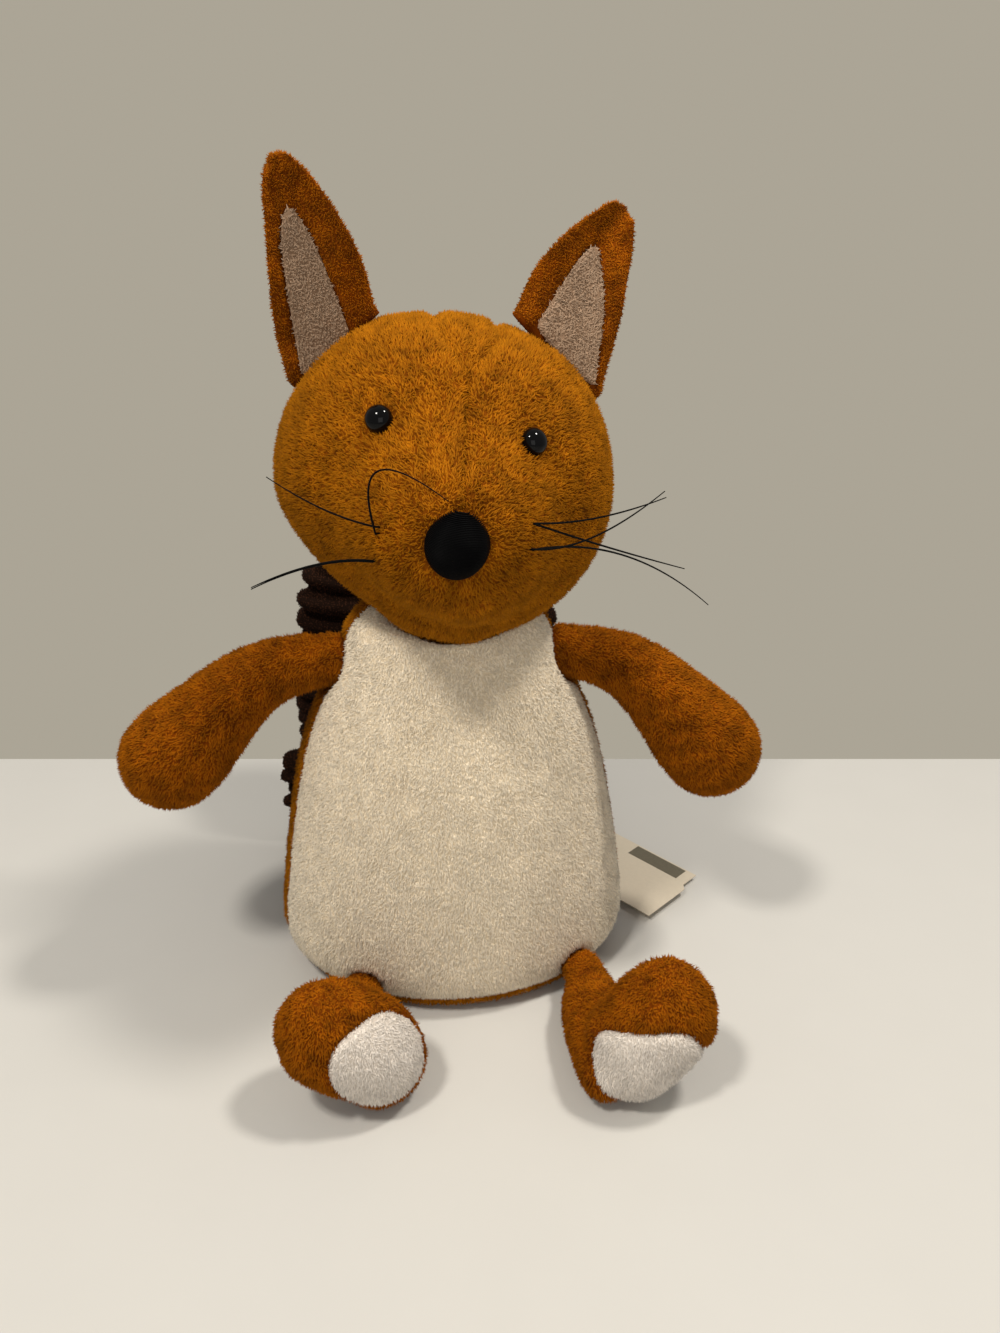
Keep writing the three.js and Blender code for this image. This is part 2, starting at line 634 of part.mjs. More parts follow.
function soleCutter(side, grow) {
  const cutter = new THREE.CylinderGeometry(1, 1, FOOT_DEPTH, 18);
  cutter.scale(SOLE_WIDTH / 2 + grow, 1, SOLE_LENGTH / 2 + grow);
  cutter.translate(0, -FOOT_DEPTH / 2, -SOLE_DROP);
  return solid(cutter.applyMatrix4(footFrame(side)));
}

for (const [name, side, round, out, lift] of [
  ["left", 1, LEG_ROUND_LEFT, LEG_OUT_LEFT, LEG_LIFT_LEFT],
  ["right", -1, LEG_ROUND_RIGHT, LEG_OUT_RIGHT, LEG_LIFT_RIGHT],
]) {
  const leg = new THREE.Group();
  leg.position.copy(limbPivot(side * round, LEG_HEIGHT));
  leg.rotation.set(radians(-lift), 0, radians(side * out), "ZYX");
  root.add(leg);
  bodySeats = bodySeats.add(ball(LEG_ROOT + JOINT_GAP, leg.position));
  const inside = new THREE.Vector3(0, LEG_ROOT * 1.3, 0);
  const mouth = rod(LEG_ROOT - 2 * CLOTH, inside, new THREE.Vector3());
  const cover = legShape(side, 0, 12, 1).subtract(legShape(side, CLOTH, 9, 1)).subtract(mouth);
  piece(`leg_cover_${name}`, cover.subtract(soleCutter(side, SEAM_GAP)), RUST, leg);
  piece(`sole_${name}`, cover.intersect(soleCutter(side, 0)), CREAM, leg);
  piece(`leg_filling_${name}`, legShape(side, CLOTH + SEAM_GAP, 9, 1), FIBRE, leg);
}

// Tail

const tailRoot = limbPivot(180, TAIL_ROOT_HEIGHT);
const tail = new THREE.Group();
tail.position.copy(tailRoot);
root.add(tail);
bodySeats = bodySeats.add(ball(TAIL_ROOT + JOINT_GAP, tailRoot));

function tailShape(inset, ribs) {
  const ahead = TAIL_STANDOFF + TAIL_DEPTH / 2 - ROOT_PROUD;
  const foot = TAIL_FOOT - TAIL_ROOT_HEIGHT;
  const line = new THREE.CatmullRomCurve3([
    new THREE.Vector3(TAIL_ASIDE, ahead, foot),
    new THREE.Vector3(TAIL_ASIDE, ahead + TAIL_CURL * 0.1, foot + TAIL_LENGTH * 0.4),
    new THREE.Vector3(TAIL_ASIDE, ahead + TAIL_CURL * 0.35, foot + TAIL_LENGTH * 0.75),
    new THREE.Vector3(TAIL_ASIDE, ahead + TAIL_CURL, foot + TAIL_LENGTH),
  ]);
  const width = new THREE.SplineCurve([
    new THREE.Vector2(TAIL_WIDTH * 0.42, 0),
    new THREE.Vector2(TAIL_WIDTH * 0.49, TAIL_LENGTH * 0.1),
    new THREE.Vector2(TAIL_WIDTH * 0.5, TAIL_LENGTH * 0.25),
    new THREE.Vector2((TAIL_WIDTH + TAIL_TOP_WIDTH) / 4, TAIL_LENGTH * 0.6),
    new THREE.Vector2(TAIL_TOP_WIDTH / 2, TAIL_LENGTH * 0.85),
    new THREE.Vector2(TAIL_TOP_WIDTH * 0.27, TAIL_LENGTH),
  ]);
  const stations = [[inset, 0, 0]];
  const rows = ribs ? RIBS * 2 : 9;
  for (let i = 0; i <= rows; i += 1) {
    const valley = ribs && i % 2 === 0 ? RIB_DEPTH : 0;
    const part = i / rows;
    const round = Math.pow(Math.sin(Math.PI * THREE.MathUtils.clamp(part, 0.06, 0.94)), 0.5);
    const wide = width.getPoint(part).x - inset - valley;
    const along = inset + 1 + part * (line.getLength() - 2 * inset - 2);
    stations.push([along, wide, (TAIL_DEPTH / 2) * round - inset - valley * 0.8]);
  }
  stations.push([line.getLength() - inset, 0, 0]);
  return tube(stations, ribs ? 16 : 12, line, new THREE.Vector3(1, 0, 0));
}

const tailFront = new THREE.Vector3(0, TAIL_STANDOFF + TAIL_DEPTH / 2, 0);
const stubRadius = TAIL_ROOT * 0.8;
const tailStub = ball(TAIL_ROOT, new THREE.Vector3()).add(
  rod(stubRadius, new THREE.Vector3(), tailFront, 18));
const tailCore = tailShape(CLOTH + RIB_DEPTH, false).add(
  rod(stubRadius - CLOTH, new THREE.Vector3(0, -TAIL_ROOT * 1.3, 0), tailFront, 14));
piece("tail_cover", tailShape(0, true).add(tailStub).subtract(tailCore), BROWN, tail);
const tailRod = rod(
  stubRadius - CLOTH - SEAM_GAP, new THREE.Vector3(0, -TAIL_ROOT * 0.7, 0), tailFront, 14);
piece("tail_filling", tailShape(CLOTH + RIB_DEPTH + SEAM_GAP, false).add(tailRod), FIBRE, tail);

// Tag and its pin

const heading = radians(TAG_HEADING);
const along = new THREE.Vector3(Math.cos(heading), Math.sin(heading), 0);
const holePlace = new THREE.Vector3(TAG_PLACE[0], TAG_PLACE[1], TAG_HEIGHT).addScaledVector(
  along, TAG_LENGTH - TAG_HOLE_INSET);
const card = new THREE.Shape();
card.moveTo(TAG_HOLE_INSET - TAG_LENGTH, -TAG_WIDTH / 2);
card.lineTo(TAG_HOLE_INSET, -TAG_WIDTH / 2);
card.lineTo(TAG_HOLE_INSET, TAG_WIDTH / 2);
card.lineTo(TAG_HOLE_INSET - TAG_LENGTH, TAG_WIDTH / 2);
card.closePath();
card.holes.push(new THREE.Path().absarc(0, 0, TAG_HOLE / 2, 0, Math.PI * 2, true));
const tag = new THREE.Group();
tag.position.copy(holePlace);
tag.rotation.z = heading;
root.add(tag);
const cardSettings = { depth: TAG_THICKNESS, bevelEnabled: false, curveSegments: 12 };
piece("swing_tag", solid(new THREE.ExtrudeGeometry(card, cardSettings)), CARD, tag, 0.7);

const pinPlace = torsoPlace(PIN_ROUND, PIN_HEIGHT);
const pinTop = new THREE.Vector3(holePlace.x, holePlace.y, PIN_HEIGHT * 0.55);
const pinFoot = new THREE.Vector3(holePlace.x, holePlace.y, PIN_THICKNESS * 0.3);
const pinLine = new THREE.CatmullRomCurve3([
  pinPlace.surface.clone().addScaledVector(pinPlace.out, -3 * CLOTH),
  pinPlace.surface.clone(),
  pinPlace.surface.clone().lerp(holePlace, 0.55).setZ(PIN_HEIGHT * 0.95),
  pinTop,
  pinFoot,
]);
const pinHead = solid(new THREE.CylinderGeometry(TAG_HOLE * 0.8, TAG_HOLE * 0.8, PIN_THICKNESS * 0.9, 16)
  .rotateX(Math.PI / 2).translate(pinFoot.x, pinFoot.y, TAG_HEIGHT - SEAM_GAP - PIN_THICKNESS * 0.45));
piece("tag_pin", strand(PIN_THICKNESS, pinLine, 14).add(pinHead), CARD, root, 0.4);
bodySeats = bodySeats.add(strand(PIN_THICKNESS + 2 * SEAM_GAP, pinLine, 14));

// Panels, filling and pouch of the body

function wedge(span, gap) {
  const reach = 2 * HIP_WIDTH;
  const half = radians(span / 2);
  const shape = new THREE.Shape();
  shape.moveTo(0, -gap);
  shape.lineTo(-reach * Math.sin(half), -reach * Math.cos(half) - gap);
  shape.lineTo(-reach * Math.sin(half), -2 * reach);
  shape.lineTo(reach * Math.sin(half), -2 * reach);
  shape.lineTo(reach * Math.sin(half), -reach * Math.cos(half) - gap);
  shape.closePath();
  const settings = { depth: 2 * TORSO_HEIGHT, bevelEnabled: false };
  const geometry = new THREE.ExtrudeGeometry(shape, settings).translate(0, 0, -TORSO_HEIGHT / 2);
  return solid(geometry.rotateZ(radians(BELLY_TURN)));
}

function slab(from, to) {
  const box = new THREE.BoxGeometry(2 * HIP_WIDTH, 2 * HIP_WIDTH, to - from);
  return solid(box.translate(0, 0, (from + to) / 2));
}

const bodyCover = torso(0, 28).subtract(torso(CLOTH, 16)).subtract(bodySeats);
const aboveBand = bodyCover.intersect(slab(BASE_BAND + SEAM_GAP, 2 * TORSO_HEIGHT));
piece("base_panel", bodyCover.intersect(slab(-1, BASE_BAND)), RUST, root);
piece("belly_panel", aboveBand.intersect(wedge(BELLY_SPAN, SEAM_GAP)), CREAM, root);
piece("back_panel", aboveBand.subtract(wedge(BELLY_SPAN, 0)), RUST, root);

const pouchFloor = CLOTH + SEAM_GAP;

function pouchShape(grow, columns) {
  const half = POUCH_HEIGHT / 2 + grow;
  const geometry = new THREE.SphereGeometry(1, columns, 8);
  geometry.rotateX(Math.PI / 2);
  geometry.scale(POUCH_WIDTH / 2 + grow, (POUCH_WIDTH / 2) * DEPTH_RATIO + grow, half);
  return solid(geometry.translate(0, 0, pouchFloor + POUCH_HEIGHT / 2));
}

const wellHeight = POUCH_HEIGHT / 2 + pouchFloor;
const pouchWell = new THREE.CylinderGeometry(POUCH_WIDTH / 2, POUCH_WIDTH / 2, wellHeight, 14);
pouchWell.rotateX(Math.PI / 2).scale(1, DEPTH_RATIO, 1).translate(0, 0, wellHeight / 2);
piece("pellet_pouch", pouchShape(0, 14), FIBRE, root);
const pouchRoom = pouchShape(SEAM_GAP, 14).add(solid(pouchWell));
const bodyFilling = torso(CLOTH + SEAM_GAP, 16).subtract(bodySeats);
piece("body_filling", bodyFilling.subtract(pouchRoom), FIBRE, root);

export default root;
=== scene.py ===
"""Dresses the plush squirrel: stuffed covers with their pile, face, whiskers, ribbed tail and tag."""

import json
import math
from contextlib import contextmanager

import bmesh
import bpy
import numpy as np
from bpy.props import FloatProperty, FloatVectorProperty, IntProperty, PointerProperty
from mathutils import Euler, Matrix, Vector

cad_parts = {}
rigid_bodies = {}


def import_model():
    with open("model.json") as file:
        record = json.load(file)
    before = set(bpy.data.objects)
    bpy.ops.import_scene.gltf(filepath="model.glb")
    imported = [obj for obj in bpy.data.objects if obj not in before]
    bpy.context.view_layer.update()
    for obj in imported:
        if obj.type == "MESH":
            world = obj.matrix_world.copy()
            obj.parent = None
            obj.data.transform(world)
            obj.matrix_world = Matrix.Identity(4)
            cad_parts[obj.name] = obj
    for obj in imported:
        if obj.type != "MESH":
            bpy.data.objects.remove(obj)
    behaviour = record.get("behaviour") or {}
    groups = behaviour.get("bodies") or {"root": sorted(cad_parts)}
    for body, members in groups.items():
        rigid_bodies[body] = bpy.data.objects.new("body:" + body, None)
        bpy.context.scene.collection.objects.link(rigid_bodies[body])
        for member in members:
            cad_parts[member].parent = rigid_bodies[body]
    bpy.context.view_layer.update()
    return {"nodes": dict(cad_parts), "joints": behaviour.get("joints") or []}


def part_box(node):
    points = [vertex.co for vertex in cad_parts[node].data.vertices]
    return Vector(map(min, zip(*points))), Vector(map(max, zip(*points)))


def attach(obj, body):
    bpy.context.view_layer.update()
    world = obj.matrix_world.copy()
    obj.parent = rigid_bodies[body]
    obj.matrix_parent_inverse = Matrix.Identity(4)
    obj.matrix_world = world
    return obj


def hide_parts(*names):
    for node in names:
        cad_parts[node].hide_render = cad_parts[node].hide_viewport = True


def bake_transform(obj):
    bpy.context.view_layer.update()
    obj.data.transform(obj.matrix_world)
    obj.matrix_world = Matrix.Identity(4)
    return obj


bl_info = {
    "name": "Plush Squirrel",
    "version": (1, 0, 0),
    "blender": (4, 5, 0),
    "location": "3D View > Sidebar > Squirrel",
    "description": "Makes a sitting plush squirrel: covers with pile, face, whiskers, tail and tag",
    "category": "Object",
}

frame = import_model()
PIVOTS = {joint["name"]: joint["pos_m"] for joint in frame["joints"]}
SIDES = (("left", 1), ("right", -1))
BAKE_MAP = "OFBake"
LEFTWARDS, BACKWARDS, UP = np.eye(3)
CLOTH = 0.0022
SEAM_GAP = 0.0004
JOINT_GAP = 0.0006


# Settings


def number(name, description, values, unit, subtype):
    """A setting of one number, or of one for the left and one for the right."""
    if len(values) == 2:
        return FloatVectorProperty(name=name, description=description, default=values, size=2,
                                   unit=unit, precision=4)
    return FloatProperty(name=name, description=description, default=values[0], unit=unit,
                         subtype=subtype, precision=4)


def size(name, description, *values):
    return number(name, description, values, "LENGTH", "DISTANCE")


def turn(name, description, *degrees):
    return number(name, description, [math.radians(d) for d in degrees], "ROTATION", "ANGLE")


def share(name, description, default):
    return FloatProperty(name=name, description=description, default=default, subtype="FACTOR")


def many(name, default):
    return FloatProperty(name=name, description="Tufts on a square metre", default=default)


def colour(name, description, default):
    return FloatVectorProperty(name=name, description=description, default=default,
                               subtype="COLOR", size=3, min=0.0, max=1.0)


class SquirrelBody(bpy.types.PropertyGroup):
    seat_width: size("Seat width", "Width of the flat that stands on the table", 0.106)
    hip_width: size("Hip width", "Widest part of the body", 0.125)
    hip_height: size("Hip height", "Height of the widest part", 0.020)
    waist_width: size("Waist width", "Width at the waist", 0.104)
    waist_height: size("Waist height", "Height of the waist", 0.081)
    shoulder_width: size("Shoulder width", "Width at the shoulders", 0.076)
    shoulder_height: size("Shoulder height", "Height of the shoulders", 0.116)
    neck_width: size("Neck width", "Width of the top that carries the head", 0.056)
    height: size("Height", "Where the body would close if the head did not sit in it", 0.141)
    depth: size("Depth", "Front to back at the hips", 0.096)
    neck_low: size("Neck low", "Above this height the body's covers begin to go with the neck", 0.116)
    neck_high: size("Neck high", "Above this height the body's covers go with the neck", 0.129)
    band: size("Base band", "Height of the rust band round the seat", 0.005)
    belly: turn("Belly", "From the front to the belly's seams on the left and on the right", 87, 79)
    seam: size("Seam depth", "How deep a seam draws the pile in", 0.0013)
    crease: size("Crease depth", "Depth of the soft fold down the belly's left", 0.0012)


class SquirrelHead(bpy.types.PropertyGroup):
    width: size("Width", "Width of the head", 0.102)
    depth: size("Depth", "Front to back without the snout", 0.092)
    height: size("Height", "Height of the head", 0.100)
    lift: size("Lift", "The head's middle above the top of the body", 0.0345)
    forward: size("Forward", "How far the head's middle is ahead of the body's", 0.004)
    tilt: turn("Tilt", "Lean towards the left ear", 9)
    look: turn("Turn", "Turn towards the left", 1)
    snout: size("Snout", "How far the snout stands out", 0.016)
    snout_cone: turn("Snout cone", "From the snout's axis to where it fades", 43)
    snout_drop: turn("Snout drop", "How much the snout points down", 7)
    crown: size("Crown", "How much the top of the head is flattened", 0.0022)
    jaw_drawn: size("Jaw drawn", "How far the head is drawn in at its lower right", 0.005)
    jaw_full: size("Jaw full", "How far the head is fuller at its lower left", 0.0014)
    jaw_cone: turn("Jaw cone", "From the middle of each to where it fades", 55)
    chin: size("Chin", "How far the chin stands out", 0.0044)
    chin_round: turn("Chin round", "From straight down to the way the chin points", 26)
    seat_room: size("Seat room", "Room between the head and its seat", -0.0004)
    neck: size("Neck", "Radius of the hidden neck", 0.016)
    gusset: size("Gusset", "Half width of the strip sewn over the crown", 0.009)
    seam: size("Seam depth", "Depth of the seams over the crown", 0.0022)
    eye: size("Eye", "Diameter of an eye", 0.0075)
    eye_spacing: size("Eye spacing", "Between the eyes' middles", 0.0422)
    eye_aside: size("Eyes aside", "The middle between the eyes, from the face's middle", -0.0017)
    eye_rise: size("Eye rise", "Eyes above the head's middle", 0.0225)
    eye_dent: size("Eye dent", "How far an eye draws the face in", 0.0009)
    nose_width: size("Nose width", "Width of the nose", 0.0165)
    nose_height: size("Nose height", "Height of the nose", 0.0178)
    nose_depth: size("Nose depth", "Depth of the nose", 0.011)
    nose_rise: size("Nose rise", "The nose's middle, measured like the eyes", -0.0015)
    whisker_side: size("Whisker side", "From the face's middle to the whiskers", 0.0205)
    whisker: size("Whisker", "Thickness of a whisker at its root", 0.0006)


class SquirrelEars(bpy.types.PropertyGroup):
    width: size("Width", "Width of an ear at its root", 0.036)
    height: size("Height", "Root to tip", 0.0458)
    thickness: size("Thickness", "Stuffed thickness", 0.007)
    cup: size("Cup", "How far the rims bend forward", 0.005)
    back: size("Back", "Seat of the ears behind the head's middle", 0.003)
    lining: size("Lining", "Thickness of the lining", 0.0018)
    out: size("Out", "Seat of the left and the right ear from the head's middle", 0.030, 0.038)
    fold: turn("Fold", "How far the left and the right ear lean back", 24, 0)


class SquirrelLimbs(bpy.types.PropertyGroup):
    arm_root: size("Arm root", "Radius of an arm at the shoulder", 0.011)
    arm_wrist: size("Arm wrist", "Radius of an arm at its slimmest", 0.0104)
    arm_paw: size("Paw", "Radius of a paw", 0.0172)
    arm_reach: size("Arm reach", "Shoulder to the middle of the paw", 0.0504)
    arm_fall: size("Arm fall", "How far the paw hangs below the shoulder", 0.0225)
    arm_forward: size("Arm forward", "How far the paw is ahead of the shoulder", 0.014)
    drop: turn("Drop", "How the left and the right arm hang", 10, 4)
    leg_root: size("Leg root", "Radius of a leg at the hip", 0.0086)
    leg_slim: size("Leg slim", "Radius of a leg at its slimmest", 0.0078)
    leg_ankle: size("Leg ankle", "Radius of a leg at the foot", 0.0094)
    heel: size("Heel", "Radius of the left heel, which lies beside the leg's line", 0.0094)
    heel_reach: size("Heel reach", "Left hip to the heel", 0.046)
    heel_in: size("Heel in", "The left heel inwards of the leg's line", 0.006)
    heel_drop: size("Heel drop", "The left heel below the leg's line", 0.0025)
    leg_flat: share("Leg flat", "How flat the top of a leg is at the hip", 0.40)
    reach: size("Reach", "Left and right hip to the middle of the foot", 0.045, 0.0335)
    spread: turn("Spread", "How the left and the right leg spread", 8, -9)
    lift: turn("Lift", "How the left and the right leg are raised", 2.8, -1.4)
    foot_length: size("Foot length", "Heel to toes", 0.050)
    foot_width: size("Foot width", "Width of a foot", 0.037)
    foot_depth: size("Foot depth", "Sole to instep", 0.032)
    foot_rise: size("Foot rise", "The foot's middle above the leg's line", 0.0104)
    foot_out: size("Foot out", "The left and the right foot outwards of the leg's line", 0.007, 0.006)
    splay: turn("Splay", "How far the left and the right toes point outwards", 24, 50)
    inward: turn("Inward", "How far the left and the right sole look inwards", 21, 12)
    upward: turn("Upward", "How far the left and the right sole look up", 9, 20)
    sole_length: size("Sole length", "Length of the cream sole", 0.0334)
    sole_width: size("Sole width", "Width of the left and the right cream sole", 0.0345, 0.0290)
    sole_drop: size("Sole drop", "The sole's middle towards the heel", 0.0048)
    sole_out: size("Sole out", "Left and right sole outwards of the foot's middle", 0.0023, -0.0012)
    sole_wrap: size("Sole wrap", "How far a sole reaches round the foot's rim", 0.006)
    sole_slant: turn("Sole slant", "How far the soles' straight edges turn from the toes", 33)
    sole_top: size("Sole top", "Where the left and the right sole end in a straight edge", 0.0122, 0.0165)


class SquirrelTail(bpy.types.PropertyGroup):
    width: size("Width", "Width of the tail low down", 0.120)
    top_width: size("Top width", "Width of the tail near its top", 0.075)
    depth: size("Depth", "Front to back", 0.028)
    length: size("Length", "Foot to top", 0.168)
    curl: size("Curl", "How far the top leans back", 0.017)
    aside: size("Aside", "How far the tail hangs to the right", -0.0065)
    standoff: size("Stand-off", "From the body's back to the tail's front", 0.0024)
    foot: size("Foot", "Lower edge above the table", 0.003)
    root: size("Root", "Radius of the tail's root", 0.012)
    rolls: IntProperty(name="Rolls", description="Padded rolls up the tail", default=23)
    core: share("Core", "Share of its width where the rolls join", 0.94)
    crowd: share("Crowd", "How much closer the lower rolls lie", 1.25)
    uneven: size("Uneven", "How much the ends of the rolls differ", 0.0014)
    bow: size("Bow", "How far the ends of the upper rolls rise", 0.011)


class SquirrelTag(bpy.types.PropertyGroup):
    width: size("Width", "Width of the card", 0.035)
    length: size("Length", "Length of the card", 0.0485)
    leaf: size("Leaf", "Thickness of each of its two leaves", 0.0003)
    spread: size("Spread", "How far the leaves stand apart at the free end", 0.0008)
    shift: size("Shift", "How far the upper leaf lies aside of the lower", 0.0090)
    cut: size("Cut", "Cut at the inner corner of the upper leaf's free end", 0.0032)
    heading: turn("Heading", "From +X to the holed end", 130)
    hole_inset: size("Hole inset", "From the end to the hole's middle", 0.0045)
    hole: size("Hole", "Diameter of the hole", 0.0034)


class SquirrelPile(bpy.types.PropertyGroup):
    nap: size("Nap", "Skin below the pile's pressed surface", 0.0010)
    rust_length: size("Rust length", "Length of the rust pile", 0.0018)
    rust_width: size("Rust width", "Width of a tuft of rust pile", 0.00062)
    rust_density: many("Rust density", 3.0e6)
    cream_length: size("Cream length", "Length of the cream pile", 0.0014)
    cream_width: size("Cream width", "Width of a tuft of cream pile", 0.00058)
    cream_density: many("Cream density", 3.2e6)
    ear_length: size("Ear length", "Length of the ears' rust pile", 0.0011)
    ear_width: size("Ear width", "Width of a tuft of the ears' rust pile", 0.0005)
    ear_density: many("Ear density", 4.0e6)
    brown_length: size("Brown length", "Length of the brown pile", 0.0009)
    brown_width: size("Brown width", "Width of a tuft of brown pile", 0.0005)
    brown_density: many("Brown density", 1.0e6)
    lean: share("Lean", "How far the pile lies over", 0.85)


class SquirrelColours(bpy.types.PropertyGroup):
    # Each pile's root colour is darker than its tip as painted shade between the tufts; the bare skin
    # under the tufts takes it too.
    rust_root: colour("Rust root", "Rust pile at its root", (0.205, 0.054, 0.0008))
    rust_tip: colour("Rust tip", "Rust pile at its tip", (0.400, 0.143, 0.003))
    cream_root: colour("Cream root", "Cream pile at its root", (0.830, 0.690, 0.490))
    cream_tip: colour("Cream tip", "Cream pile at its tip", (0.950, 0.850, 0.690))
    # The limb tone is a darker copy of the rust pile for the arms, legs and ears: painted shade.
    limb_root: colour("Limb root", "Rust pile of the limbs and ears at its root", (0.175, 0.038, 0.0005))
    limb_tip: colour("Limb tip", "Rust pile of the limbs and ears at its tip", (0.37, 0.112, 0.002))
    # The lining tone is the cream pile with a pinkish tint of its own, darkened further as painted shade
    # for the recessed linings.
    lining_root: colour("Lining root", "Pile of the ears' linings at its root", (0.29, 0.185, 0.115))
    lining_tip: colour("Lining tip", "Pile of the ears' linings at its tip", (0.44, 0.31, 0.21))
    sole_root: colour("Sole root", "Pile of the soles at its root", (0.73, 0.65, 0.56))
    sole_tip: colour("Sole tip", "Pile of the soles at its tip", (0.87, 0.80, 0.72))
    brown_root: colour("Brown root", "Brown pile at its root", (0.010, 0.004, 0.002))
    brown_tip: colour("Brown tip", "Brown pile at its tip", (0.062, 0.024, 0.012))
    black: colour("Black", "Eyes, nose and whiskers", (0.002, 0.002, 0.0022))
    fibre: colour("Fibre", "Filling", (0.80, 0.78, 0.73))
    pouch: colour("Pouch", "Cloth of the pellet pouch", (0.70, 0.67, 0.60))
    plastic: colour("Plastic", "Washers and pin", (0.72, 0.71, 0.68))
    card: colour("Card", "The tag's card", (0.66, 0.58, 0.45))
    band: colour("Band", "Plain printed band on the tag", (0.1425, 0.1254, 0.0855))
    floor: colour("Floor", "Floor of the stage", (0.62, 0.605, 0.565))
    wall: colour("Backdrop", "Colour behind the stage", (0.41, 0.375, 0.305))


SETTINGS = {
    "squirrel_body": SquirrelBody, "squirrel_head": SquirrelHead, "squirrel_ears": SquirrelEars,
    "squirrel_limbs": SquirrelLimbs, "squirrel_tail": SquirrelTail, "squirrel_tag": SquirrelTag,
    "squirrel_pile": SquirrelPile, "squirrel_colours": SquirrelColours,
}


def chosen(context, *names):
    """The settings of these groups."""
    return [getattr(context.scene, f"squirrel_{name}") for name in names]


def of_side(pair, side):
    """The left or the right of a pair of settings."""
    return pair[0] if side > 0 else pair[1]


# Meshes


SWELL_FRAMES = 14
SWELL_SETTINGS = {
    "quality": 6, "mass": 0.15, "tension_stiffness": 12, "compression_stiffness": 12,
    "shear_stiffness": 4, "bending_stiffness": 0.4, "use_pressure": True,
    "vertex_group_mass": "held",
}
# Thickness of a panel's cloth under its pile
BACKING = 0.0018
# How much less the row beside a sewn edge is drawn in
BESIDE_EDGE = 0.4


def placed(name, data):
    """A new object in the scene."""
    piece = bpy.data.objects.new(name, data)
    bpy.context.scene.collection.objects.link(piece)
    return piece


@contextmanager
def reshaped(mesh):
    """A mesh that is open for changes."""
    work = bmesh.new()
    work.from_mesh(mesh)
    yield work
    work.to_mesh(mesh)
    work.free()


def mesh_piece(name, points, faces, edges=()):
    """A new object of these faces, turned outwards, or of bare edges or points."""
    mesh = bpy.data.meshes.new(name)
    mesh.from_pydata([tuple(p) for p in points], list(edges), faces)
    piece = placed(name, mesh)
    if faces:
        outwards(piece)
    return piece


def shade(piece, smooth=True):
    count = len(piece.data.polygons)
    piece.data.polygons.foreach_set("use_smooth", np.full(count, smooth))


def outwards(piece):
    with reshaped(piece.data) as work:
        bmesh.ops.recalc_face_normals(work, faces=work.faces)
    shade(piece)


def number_faces(piece, numbers):
    """A number on each face for the panel or the material that it belongs to."""
    piece.data.polygons.foreach_set("material_index", np.array(numbers, np.int32))


def points_of(piece):
    flat = np.empty(len(piece.data.vertices) * 3)
    piece.data.vertices.foreach_get("co", flat)
    return flat.reshape(-1, 3)


def normals_of(piece):
    flat = np.empty(len(piece.data.vertices) * 3, np.float32)
    piece.data.vertex_normals.foreach_get("vector", flat)
    return flat.reshape(-1, 3).astype(float)


def put_points(piece, points):
    piece.data.vertices.foreach_set("co", np.asarray(points, np.float32).ravel())
    piece.data.update()


def put_values(piece, name, values):
    """A number or a vector on each point of a piece."""
    values = np.asarray(values, np.float32)
    kind, key = ("FLOAT", "value") if values.ndim == 1 else ("FLOAT_VECTOR", "vector")
    made = piece.data.attributes.new(name, kind, "POINT")
    made.data.foreach_set(key, values.ravel())


def comb(piece, way):
    """Lays all the pile of a piece one way."""
    put_values(piece, "comb", np.tile(way, (len(piece.data.vertices), 1)))


def carry(piece, matrix):
    """Moves a piece's points by a matrix."""
    put_points(piece, carried(points_of(piece), matrix))


def settle(piece):
    """Turns what a piece's modifiers make into its plain mesh."""
    graph = bpy.context.evaluated_depsgraph_get()
    made = bpy.data.meshes.new_from_object(
        piece.evaluated_get(graph), preserve_all_data_layers=True, depsgraph=graph)
    before = piece.data
    piece.modifiers.clear()
    piece.data = made
    made.name = piece.name
    bpy.data.meshes.remove(before)


def modify(piece, kind, **values):
    """Keeps the plain mesh that a modifier makes of a piece."""
    modifier = piece.modifiers.new(kind.lower(), kind)
    for name, value in values.items():
        setattr(modifier, name, value)
    settle(piece)


def subdivide(piece):
    modify(piece, "SUBSURF", levels=1, render_levels=1)


def remesh(piece, voxel, rounds):
    """One even skin over everything in a piece, smoothed."""
    modify(piece, "REMESH", mode="VOXEL", voxel_size=voxel)
    modify(piece, "SMOOTH", factor=0.5, iterations=rounds)
    outwards(piece)


def circle(count):
    """The angles of a full turn, evenly apart."""
    return np.linspace(0, 2 * math.pi, count, endpoint=False)


def level_row(x, y, height):
    """A row of points at one height."""
    return np.stack([x, y, np.full(len(x), height)], 1)


def lengths(vectors):
    return np.linalg.norm(vectors, axis=1)


def unit(vector):
    vector = np.asarray(vector, float)
    return vector / np.linalg.norm(vector)


def strip(low, high, columns):
    """Faces between two closed rows of points, given by their first points."""
    pairs = [(i, (i + 1) % columns) for i in range(columns)]
    return [(low + i, low + j, high + j, high + i) for i, j in pairs]


def ring_skin(name, rings, first, last):
    """A closed skin over rows of points, with a point at each end."""
    rings = np.asarray(rings, float)
    rows, columns = rings.shape[:2]
    points = np.vstack([rings.reshape(-1, 3), first, last])
    faces = []
    for row in range(rows - 1):
        faces.extend(strip(row * columns, (row + 1) * columns, columns))
    for start, hub in ((0, rows * columns), ((rows - 1) * columns, rows * columns + 1)):
        faces.extend((hub, start + i, start + (i + 1) % columns) for i in range(columns))
    return mesh_piece(name, points, faces)


